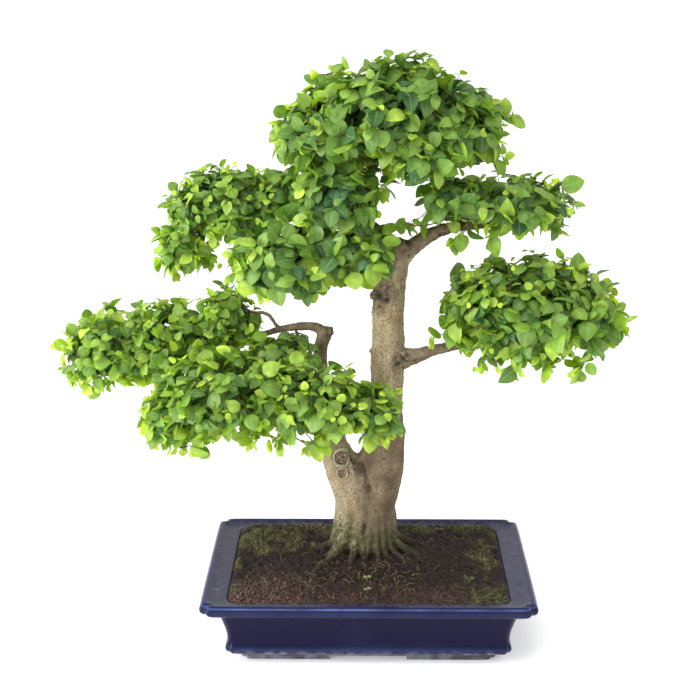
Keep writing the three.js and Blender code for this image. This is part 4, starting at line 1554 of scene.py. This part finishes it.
@dataclass(frozen=True)
class Habit:
    """How a pad's shoots and leaves grow."""

    leaf: float = 19.0
    shoot: float = 30.0
    spacing: float = 24.0
    pairs: int = 4
    age: float = 0.5
    flush: float = 0.4
    stray: float = 0.14


@dataclass
class FoliagePad:
    """One pad of foliage: shoots with leaves in opposite pairs, and the twigs that carry them."""

    name: str
    node: str
    lobes: list[Lobe]
    habit: Habit
    seed: int
    sprigs: tuple[tuple[float, float, float], ...] = ()
    # How far out the outer and the inner shoots end, and how much wider each are spaced
    shells: ClassVar[tuple[tuple[float, float], ...]] = ((0.94, 1.07), (0.7, 1.42))
    # How deep in another lobe a shoot may end, and how steeply down it may point
    overlap: ClassVar[float] = 0.74
    steepest: ClassVar[float] = -0.93

    def shoot_tips(self, rng: np.random.Generator) -> tuple[Array, Array, Array]:
        """Spread the tips of the shoots over the outline, in an outer and an inner layer.

        Args:
            rng: The pad's random numbers.

        Returns:
            The tips, the directions out of the outline there and how far out each layer lies.
        """
        tips, outs, layers = [], [], []
        for lobe in self.lobes:
            for layer, spread in self.shells:
                count = round(lobe.area() * layer ** 2 / (self.habit.spacing * spread) ** 2)
                level = 1 - (2 * np.arange(count) + 1) / count
                bearing = GOLDEN_ANGLE * np.arange(count) + rng.uniform(0, 6)
                flat = np.sqrt(1 - level ** 2)
                way = np.column_stack([flat * np.cos(bearing), flat * np.sin(bearing), level])
                way = unit(way + 0.1 * rng.normal(size=way.shape))
                size = lobe.size(way)
                reach = layer * (1 + 0.07 * rng.normal(size=count).clip(-2.2, 1.1))
                reach += (rng.random(count) < self.habit.stray) * rng.uniform(0.04, 0.14, count)
                tip = lobe.at + way * size * reach[:, None]
                keep = way[:, 2] > self.steepest
                for other in self.lobes:
                    if other is not lobe:
                        keep &= other.depth(tip) > self.overlap * layer
                tips.append(tip[keep])
                outs.append(unit(way / size)[keep])
                layers.append(np.full(keep.sum(), layer))
        for place in self.sprigs:
            nearest = min(self.lobes, key=lambda lobe: math.dist(lobe.at, place))
            tips.append(np.array([place]))
            outs.append(unit(np.array([place]) - nearest.at))
            layers.append(np.ones(1))
        return np.vstack(tips), np.vstack(outs), np.concatenate(layers)

    def grow(self, forms: list[Blade], wood: Array, leaf_finish: Material,
             twig_finish: Material) -> None:
        """Grow the pad and hand over its leaves and its twigs.

        Args:
            forms: The modelled blades.
            wood: Places and radii along the branches.
            leaf_finish: The leaves' finish.
            twig_finish: The twigs' finish.
        """
        rng = np.random.default_rng(self.seed)
        tips, outs, layers = self.shoot_tips(rng)
        count = len(tips)
        full = np.where(np.arange(count) < count - len(self.sprigs), 1.0, 0.6)
        upward = np.array([0, 0, 1.0])
        stray = rng.normal(size=(count, 3))
        stray -= np.sum(stray * outs, 1, keepdims=True) * outs
        heading = unit(outs + 0.1 * upward + 0.7 * stray)
        length = self.habit.shoot * rng.uniform(0.75, 1.25, count)
        feet = tips - heading * length[:, None]
        twigs = MeshPile()
        self.carry(twigs, feet, outs, wood, rng)
        side = unit(np.cross(heading, rng.normal(size=(count, 3))))
        third = np.cross(heading, side)
        bend = 0.12 * length[:, None] * rng.normal(size=(count, 1)) * side
        leaves: list[Array] = []
        for foot, tip, bow in zip(feet, tips, bend):
            path = np.array([foot, (foot + tip) / 2 + bow, tip])
            twigs.add_tube(path, np.array([0.85, 0.6, 0.35]), 3, tone=0.35)
        patch = noise_at(tips, 45, 2, self.seed)
        # Shoots at the rim of a pad as the camera sees it are made younger, lighter and more often
        # flushing than those on its face, a painted rim light; shoots of the inner layer are older and
        # darker, partly by age and partly as painted shade inside the pad
        rim = 1 - np.abs(outs[:, 1])
        age_with_painted_light = self.habit.age - 0.3 * (rim - 0.4) + 1.1 * (self.shells[0][0] - layers)
        flush = np.where(rng.random(count) < self.habit.flush + 0.4 * (rim - 0.5), 1.0, 0.3)
        for pair in range(self.habit.pairs + 2):
            share = (pair + 0.6 + 0.4 * rng.random(count)) / (self.habit.pairs + 1.6)
            share = share.clip(0, 1) ** 0.8
            young = np.clip((pair - self.habit.pairs + 0.6) / 1.6, 0, 1) * flush
            sway = bend * (4 * share * (1 - share))[:, None]
            spot = feet + heading * (length * share)[:, None] + sway
            turn = pair * math.pi / 2 + rng.uniform(-0.5, 0.5, count)
            for half in (0, math.pi):
                angle = turn + half + rng.uniform(-0.25, 0.25, count)
                off = np.cos(angle)[:, None] * side + np.sin(angle)[:, None] * third
                open_ = np.radians(rng.uniform(48, 96, count) * (1 - 0.35 * young))
                along = np.cos(open_)[:, None] * heading + np.sin(open_)[:, None] * off
                along = unit(along - 0.34 * upward + 0.3 * rng.normal(size=(count, 3)))
                facing = outs * np.where(outs[:, 2:] < -0.1, 0.6, 0.9) + 0.6 * upward
                facing = facing + 0.42 * rng.normal(size=(count, 3))
                facing = unit(facing - np.sum(facing * along, 1, keepdims=True) * along)
                size = self.habit.leaf * (0.66 + 0.74 * rng.random(count) ** 1.4) * (1 - 0.5 * young)
                age = age_with_painted_light + 0.16 * rng.normal(size=count) - 0.5 * young
                age += 0.2 * (1 - share) + 0.1 * outs[:, 2] + 0.15 * patch
                rows = np.column_stack([spot, along, facing, size, age.clip(0, 1)])
                leaves.append(rows[rng.random(count) < full])
        self.leaf_piece(np.vstack(leaves), forms, rng, leaf_finish)
        bark = twigs.build(f"twigs_{self.name}")
        hand_over(bark, (twig_finish,), "bark")

    def leaf_piece(self, leaves: Array, forms: list[Blade], rng: np.random.Generator,
                   finish: Material) -> None:
        """Place all the pad's leaves as one piece.

        Args:
            leaves: Rows of foot, way along, way that the upper face looks, length and age.
            forms: The modelled blades.
            rng: The pad's random numbers.
            finish: The leaves' finish.
        """
        pile = MeshPile()
        chosen = rng.integers(0, len(forms), len(leaves))
        for number, (points, faces, along_mark, aside_mark) in enumerate(forms):
            rows = leaves[chosen == number]
            along, facing, size = rows[:, 3:6], rows[:, 6:9], rows[:, 9]
            frames = np.stack([along, np.cross(facing, along), facing], -1) * size[:, None, None]
            places = rows[:, :3] + along * (0.1 * size)[:, None]
            pile.add_copies(points, faces, frames, places, along=along_mark, aside=aside_mark,
                            age=rows[:, 10])
        piece = pile.build(f"leaves_{self.name}", uv=PrivetLeaf.uv)
        log.info("%s holds %d leaves", piece.name, len(leaves))
        hand_over(piece, (finish,), "leaves", self.node)

    @staticmethod
    def carry(twigs: MeshPile, feet: Array, outs: Array, wood: Array, rng: np.random.Generator) -> None:
        """Join the foot of each shoot to the nearest wood, from the nearest foot outwards.

        Args:
            twigs: Gathers the twigs.
            feet: Where the shoots start.
            outs: The way out of the pad at each.
            wood: Places and radii along the branches.
            rng: The pad's random numbers.
        """
        known = [*wood]
        gaps = np.array([np.min(np.linalg.norm(wood[:, :3] - foot, axis=1)) for foot in feet])
        for number in np.argsort(gaps):
            foot, pool = feet[number], np.array(known)
            way = foot - pool[:, :3]
            away = np.linalg.norm(way, axis=1)
            # Twigs come from the inside of the pad rather than from the side
            inward = way @ outs[number] / np.maximum(away, 1e-6)
            best = np.argmin(away * (1.6 - 0.6 * inward))
            start, gap = pool[best], float(away[best])
            if gap < 1:
                continue
            steps = max(3, round(gap / 9))
            share = np.linspace(0, 1, steps + 1)[:, None]
            sag = np.sin(math.pi * share) * (0.08 * gap) * unit(rng.normal(size=3) + outs[number])
            path = start[:3] + share * (foot - start[:3]) + sag
            radius = np.linspace(min(start[3] * 0.8, 1.8), 0.8, steps + 1)
            twigs.add_tube(path, radius, 4, tone=0.6)
            known += [np.append(point, girth) for point, girth in zip(path[1:], radius[1:])]


@dataclass
class Litter:
    """What lies and grows on the soil: crumbs, dry fibres, moss and two seedlings."""

    soil: SoilMound
    trunk: tuple[float, float] = (-3.0, 24.0)
    trunk_clear: float = 38.0
    corner_clear: float = 12.0
    crumbs: int = 3400
    fibres: int = 430
    sprigs: int = 9000
    seed: int = 31
    # Place and turn of each seedling
    seedlings: tuple[tuple[float, float, float], ...] = ((-2, -66, 0.1), (-2, -86, 0.6))
    seedling_stem: tuple[float, float, float] = (0.6, -0.4, 6.5)
    seedling_leaf: float = 5.0

    def scatter(self, rng: np.random.Generator, count: int, margin: float = 3.0) -> Array:
        """Draw places on the soil, clear of the trunk.

        Args:
            rng: The random numbers.
            count: How many places to try.
            margin: How far they keep from the pot's wall.

        Returns:
            Points on the soil.
        """
        x = rng.uniform(-1, 1, count) * (self.soil.half_width - margin)
        y = rng.uniform(-1, 1, count) * (self.soil.half_depth - margin)
        away = np.hypot(x - self.trunk[0], y - self.trunk[1]) > self.trunk_clear
        mid_x = np.abs(x) < self.soil.half_width - self.corner_clear
        mid_y = np.abs(y) < self.soil.half_depth - self.corner_clear
        return self.soil.surface(x, y)[away & (mid_x | mid_y)]

    @staticmethod
    def turns(rng: np.random.Generator, up: Array, size: Array) -> Array:
        """Make a frame for each copy, turned at random about its own up.

        Args:
            rng: The random numbers.
            up: The way that each copy points.
            size: The size of each copy.

        Returns:
            A 3 by 3 matrix for each copy.
        """
        side = unit(np.cross(up, rng.normal(size=up.shape)))
        return np.stack([side, np.cross(up, side), up], -1) * size[:, None, None]

    def build_crumbs(self, rng: np.random.Generator, finish: Material) -> None:
        """Scatter crumbs of humus, more and paler where the soil is dry.

        Args:
            rng: The random numbers.
            finish: Their finish.
        """
        bpy.ops.mesh.primitive_uv_sphere_add(segments=3, ring_count=3, radius=1)
        points, faces = take_shape(bpy.context.object)
        points = points * (1 + 0.25 * rng.normal(size=(len(points), 1)))
        places = self.scatter(rng, 2 * self.crumbs)
        dry, moss = self.soil.dryness(places), self.soil.moss(places)
        keep = rng.random(len(places)) < (0.45 + 0.55 * dry) * (1 - 0.7 * moss)
        places, dry = places[keep][:self.crumbs], dry[keep][:self.crumbs]
        size = rng.gamma(3, 0.24, len(places)).clip(0.35, 1.9)
        frames = self.turns(rng, unit(rng.normal(size=places.shape)), size)
        tone = (dry * 0.62 + 0.26 * rng.normal(size=len(places))).clip(0, 1)
        pile = MeshPile()
        pile.add_copies(points, faces, frames, places + [0, 0, 0.3], tone=tone)
        hand_over(pile.build("humus_crumbs"), (finish,), "potting_soil")

    def build_fibres(self, rng: np.random.Generator, finish: Material) -> None:
        """Lay dry root fibres over the soil, most of them in front of the trunk.

        Args:
            rng: The random numbers.
            finish: Their finish.
        """
        places = self.scatter(rng, 9 * self.fibres, 8)
        away = np.hypot((places[:, 0] - 12) / 1.5, places[:, 1] + 58)
        keep = rng.random(len(places)) < (0.06 + 0.9 * np.exp(-(away / 34) ** 2))
        pile = MeshPile()
        for place in places[keep][:self.fibres]:
            length, bearing = rng.uniform(4, 15), rng.uniform(0, 2 * math.pi)
            curl, lift = rng.normal() * 1.5, rng.uniform(0, 3.5)
            share = np.linspace(0, 1, 6)
            turn = bearing + curl * share
            step = length / 5
            x = place[0] + np.cumsum(np.cos(turn)) * step
            y = place[1] + np.cumsum(np.sin(turn)) * step
            inside = (np.abs(x) < self.soil.half_width - 3) & (np.abs(y) < self.soil.half_depth - 3)
            if not inside.all():
                continue
            path = self.soil.surface(x, y)
            path[:, 2] += 0.3 + lift * np.sin(math.pi * share)
            radius = rng.uniform(0.18, 0.36) * np.array([0.7, 1, 1, 0.9, 0.7, 0.4])
            pile.add_tube(path, radius, 3, tone=rng.random() ** 1.6)
        hand_over(pile.build("root_fibres"), (finish,), "potting_soil")

    def build_moss(self, rng: np.random.Generator, finish: Material) -> None:
        """Set tufts of moss sprigs where the soil is mossy.

        Args:
            rng: The random numbers.
            finish: Their finish.
        """
        bpy.ops.mesh.primitive_cone_add(vertices=3, radius1=0.24, radius2=0, depth=1)
        points, faces = take_shape(bpy.context.object)
        places = self.scatter(rng, 5 * self.sprigs, 1.5)
        moss = self.soil.moss(places)
        keep = rng.random(len(places)) < moss ** 1.5
        places, moss = places[keep][:self.sprigs], moss[keep][:self.sprigs]
        up = unit(np.array([0, 0, 1.0]) + 0.55 * rng.normal(size=places.shape))
        size = rng.uniform(1.4, 3.2, len(places)) * (0.6 + 0.5 * moss)
        places = places + up * (0.3 * size)[:, None]
        patches = noise_at(places * (1, 1, 0), 20, 2, 5.5)
        tone = (0.45 + 0.5 * patches + 0.22 * rng.normal(size=len(places))).clip(0, 1)
        pile = MeshPile()
        pile.add_copies(points, faces, self.turns(rng, up, size), places, tone=tone)
        hand_over(pile.build("moss_sprigs"), (finish,), "potting_soil")

    def build_seedlings(self, form: Blade, finish: Material) -> None:
        """Stand the two seedlings in front of the trunk.

        Args:
            form: A modelled blade.
            finish: The finish of their stems and leaves.
        """
        pile = MeshPile()
        points, faces = form[:2]
        for x, y, turn in self.seedlings:
            foot = self.soil.surface(np.array([x]), np.array([y]))[0]
            top = foot + self.seedling_stem
            pile.add_tube(np.array([foot - (0, 0, 1), (foot + top) / 2 + (0.5, 0, 0), top]),
                          np.array([0.5, 0.42, 0.4]), 5, tone=0.2)
            for bearing in (turn, turn + math.pi):
                along = unit(np.array([math.cos(bearing), math.sin(bearing), 0.25]))
                facing = unit(np.array([0, -0.35, 1.0]) - np.dot((0, -0.35, 1.0), along) * along)
                matrix = np.stack([along, np.cross(facing, along), facing], -1) * self.seedling_leaf
                pile.add(points @ matrix.T + top, faces, tone=0.85)
        hand_over(pile.build("seedlings"), (finish,), "leaves")

    def build(self, crumb: Material, fibre: Material, moss: Material) -> None:
        """Build all that is scattered, each with random numbers of its own.

        Args:
            crumb: The crumbs' finish.
            fibre: The fibres' finish.
            moss: The moss's finish.
        """
        self.build_crumbs(np.random.default_rng(self.seed), crumb)
        self.build_fibres(np.random.default_rng(self.seed + 1), fibre)
        self.build_moss(np.random.default_rng(self.seed + 2), moss)


@dataclass
class Studio:
    """The plain floor, the soft lights and the camera."""

    floor_half: float = 40.0
    sky_strength: float = 1.08
    camera_place: tuple[float, float, float] = (-5.0, -1568.0, 751.0)
    pitch: float = 15.45
    yaw: float = 0.56
    focal_pixels: float = 1531.0
    picture_pixels: float = 700.0
    lit_point: tuple[float, float, float] = (0.0, 0.0, 0.3)

    def lay_floor(self, paper: Material) -> None:
        """Lay the floor under the feet.

        Args:
            paper: Its finish.
        """
        bpy.ops.object.select_all(action="DESELECT")
        bpy.ops.mesh.primitive_plane_add(size=2 * self.floor_half)
        floor = bpy.context.object
        floor.name = "studio_floor"
        floor.data.materials.append(paper)

    def hang_light(self, name: str, place: tuple[float, float, float], size: tuple[float, float],
                   watts: float) -> None:
        """Hang one softbox that faces the tree.

        Args:
            name: The lamp's name.
            place: Its place in metres.
            size: Its width and height in metres.
            watts: Its power.
        """
        lamp = bpy.data.lights.new(name, "AREA")
        lamp.shape = "RECTANGLE"
        lamp.size, lamp.size_y = size
        lamp.energy = watts
        holder = bpy.data.objects.new(name, lamp)
        bpy.context.scene.collection.objects.link(holder)
        holder.location = place
        facing = Vector(self.lit_point) - Vector(place)
        holder.rotation_euler = facing.to_track_quat("-Z", "Y").to_euler()

    def set_camera(self) -> None:
        """Stand the camera where the photograph was taken."""
        data = bpy.data.cameras.new("camera")
        data.angle = 2 * math.atan(self.picture_pixels / 2 / self.focal_pixels)
        camera = bpy.data.objects.new("camera", data)
        bpy.context.scene.collection.objects.link(camera)
        camera.location = POT_MIDDLE + Vector(self.camera_place) * MM
        camera.rotation_euler = (math.pi / 2 - math.radians(self.pitch), 0, math.radians(self.yaw))
        bpy.context.scene.camera = camera

    def build(self, paper: Material) -> None:
        """Set the studio up.

        Args:
            paper: The floor's finish.
        """
        self.set_camera()
        self.lay_floor(paper)
        world = bpy.data.worlds.new("studio")
        world.use_nodes = True
        world.node_tree.nodes["Background"].inputs["Color"].default_value = (1, 1, 1, 1)
        world.node_tree.nodes["Background"].inputs["Strength"].default_value = self.sky_strength
        bpy.context.scene.world = world
        self.hang_light("key", (-2.2, -1.5, 1.1), (1.9, 1.9), 92)
        self.hang_light("strip", (0.0, -1.0, 1.9), (0.55, 0.12), 6)
        bpy.context.scene.view_settings.view_transform = "Standard"


PADS = [
    FoliagePad("crown", "foliage_crown", [
        Lobe((25, 12, 561), 99, 93, 60, 44), Lobe((-52, 6, 546), 45, 60, 37, 32),
        Lobe((94, 14, 549), 40, 62, 39, 29), Lobe((50, -25, 527), 38, 50, 21, 18),
    ], Habit(leaf=19, spacing=25, age=0.54), 101, sprigs=(
        (146, 10, 562), (136, -10, 526), (62, 0, 625), (-26, 0, 612), (2, 0, 622), (-96, 0, 541),
    )),
    FoliagePad("crown_left", "foliage_crown_left", [Lobe((-33, -34, 492), 47, 46, 30, 36)],
               Habit(leaf=20, spacing=25, age=0.62), 102),
    FoliagePad("right_upper", "foliage_right_upper", [
        Lobe((147, 12, 476), 62, 58, 29, 26), Lobe((88, -2, 484), 33, 42, 20, 17),
    ], Habit(leaf=19, spacing=27, age=0.48), 103, sprigs=(
        (127, -10, 441), (88, -12, 441), (200, 0, 446), (36, -8, 455), (24, -16, 454),
    )),
    FoliagePad("left_upper", "foliage_left_upper", [
        Lobe((-151, 52, 464), 68, 60, 44, 36), Lobe((-197, 40, 428), 27, 42, 30, 30),
        Lobe((-97, 46, 477), 38, 46, 26, 26),
    ], Habit(leaf=14, shoot=26, spacing=21, age=0.42), 104, sprigs=(
        (-163, 20, 403), (-166, 25, 410), (-206, 30, 395),
    )),
    FoliagePad("left_middle", "foliage_left_middle", [
        Lobe((-88, -40, 423), 55, 54, 41, 33), Lobe((-23, -42, 430), 46, 40, 31, 25),
    ], Habit(leaf=19, spacing=25, age=0.56), 105),
    FoliagePad("right_lower", "foliage_right_lower", [
        Lobe((168, 8, 357), 74, 76, 62, 52), Lobe((116, -4, 364), 38, 56, 42, 41),
        Lobe((226, 12, 352), 42, 54, 44, 38), Lobe((205, 12, 377), 38, 48, 34, 30),
    ], Habit(leaf=19, spacing=26, age=0.48), 116, sprigs=(
        (114, -20, 305), (222, -20, 303), (158, -40, 306), (66, -20, 336), (272, 10, 344),
        (116, 0, 412), (94, 0, 402), (140, -20, 304), (190, -20, 302),
    )),
    FoliagePad("left_lower_far", "foliage_left_lower_far", [
        Lobe((-215, 32, 319), 60, 54, 44, 42), Lobe((-280, 30, 309), 53, 52, 43, 40),
        Lobe((-154, 30, 343), 36, 44, 34, 32),
    ], Habit(leaf=14, shoot=26, spacing=21, age=0.36), 107, sprigs=(
        (-304, 10, 271), (-322, 22, 276), (-150, 20, 385), (-140, 20, 380),
    )),
    FoliagePad("left_lower_near", "foliage_left_lower_near", [
        Lobe((-148, -62, 285), 74, 56, 45, 44), Lobe((-204, -60, 263), 32, 44, 29, 25),
        Lobe((-62, -64, 284), 60, 50, 38, 41), Lobe((-3, -66, 275), 35, 38, 23, 24),
        Lobe((-95, -24, 318), 38, 30, 20, 26),
    ], Habit(leaf=16.5, shoot=28, spacing=23, age=0.42), 108, sprigs=(
        (-66, -76, 229), (-174, -76, 230), (-186, -68, 228), (-50, -78, 238), (29, -70, 254),
        (11, -76, 250), (-120, -76, 236), (-98, -78, 234), (-218, -60, 240),
    )),
]


def main() -> None:
    """Build the studio and every piece, in order."""
    logging.basicConfig(level=logging.INFO, format="%(name)s: %(message)s")
    bpy.ops.object.select_all(action="DESELECT")
    Studio().build(StudioPaper().make())
    netting = Netting().make()
    for node in ("drain_screen_left", "drain_screen_right"):
        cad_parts[node].data.materials.clear()
        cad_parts[node].data.materials.append(netting)
    TrayPot().build(CobaltGlaze().make(), BareStoneware().make())
    soil = SoilMound()
    soil.build(Humus().make())
    wood = TreeWood()
    wood.build(PrivetBark(scars=wood.scar_places()).make())
    litter = Litter(soil)
    litter.build(
        TwoTone("humus_crumb", "1a1210", "86695a", 0.85, 1.2).make(),
        TwoTone("dry_root_fibre", "30201a", "9a8462", 0.8, 2.0).make(),
        TwoTone("cushion_moss", "2c2c18", "918f62", 0.85, 2.0).make(),
    )
    forms = [
        BladeForm(0.74, 0.82, 0.16, 0.3, 0.2, point=0.72).model(),
        BladeForm(0.84, 0.8, 0.06, 0.2, -0.3, cup=0.2, point=0.66, columns=4).model(),
        BladeForm(0.66, 0.82, 0.3, 0.5, 0.5, point=0.8).model(),
        BladeForm(0.78, 0.84, -0.06, 0.6, 0.3, cup=0.25, point=0.7, columns=4).model(),
        BladeForm(0.88, 0.8, -0.14, 0.35, -0.4, cup=-0.2, point=0.66, columns=4).model(),
        BladeForm(0.7, 0.78, 0.35, 0.25, -0.5, point=0.8).model(),
    ]
    litter.build_seedlings(forms[1], TwoTone("seedling_leaf", "5c6a3a", "748c56", 0.5, 2.0).make())
    leaf = PrivetLeaf().make()
    twig = TwoTone("privet_twig", "6a5a3c", "47382c", 0.75, 1.5).make()
    lines = wood.middle_lines()
    for pad in PADS:
        pad.grow(forms, lines, leaf, twig)
    bpy.context.view_layer.update()


if __name__ == "__main__":
    main()
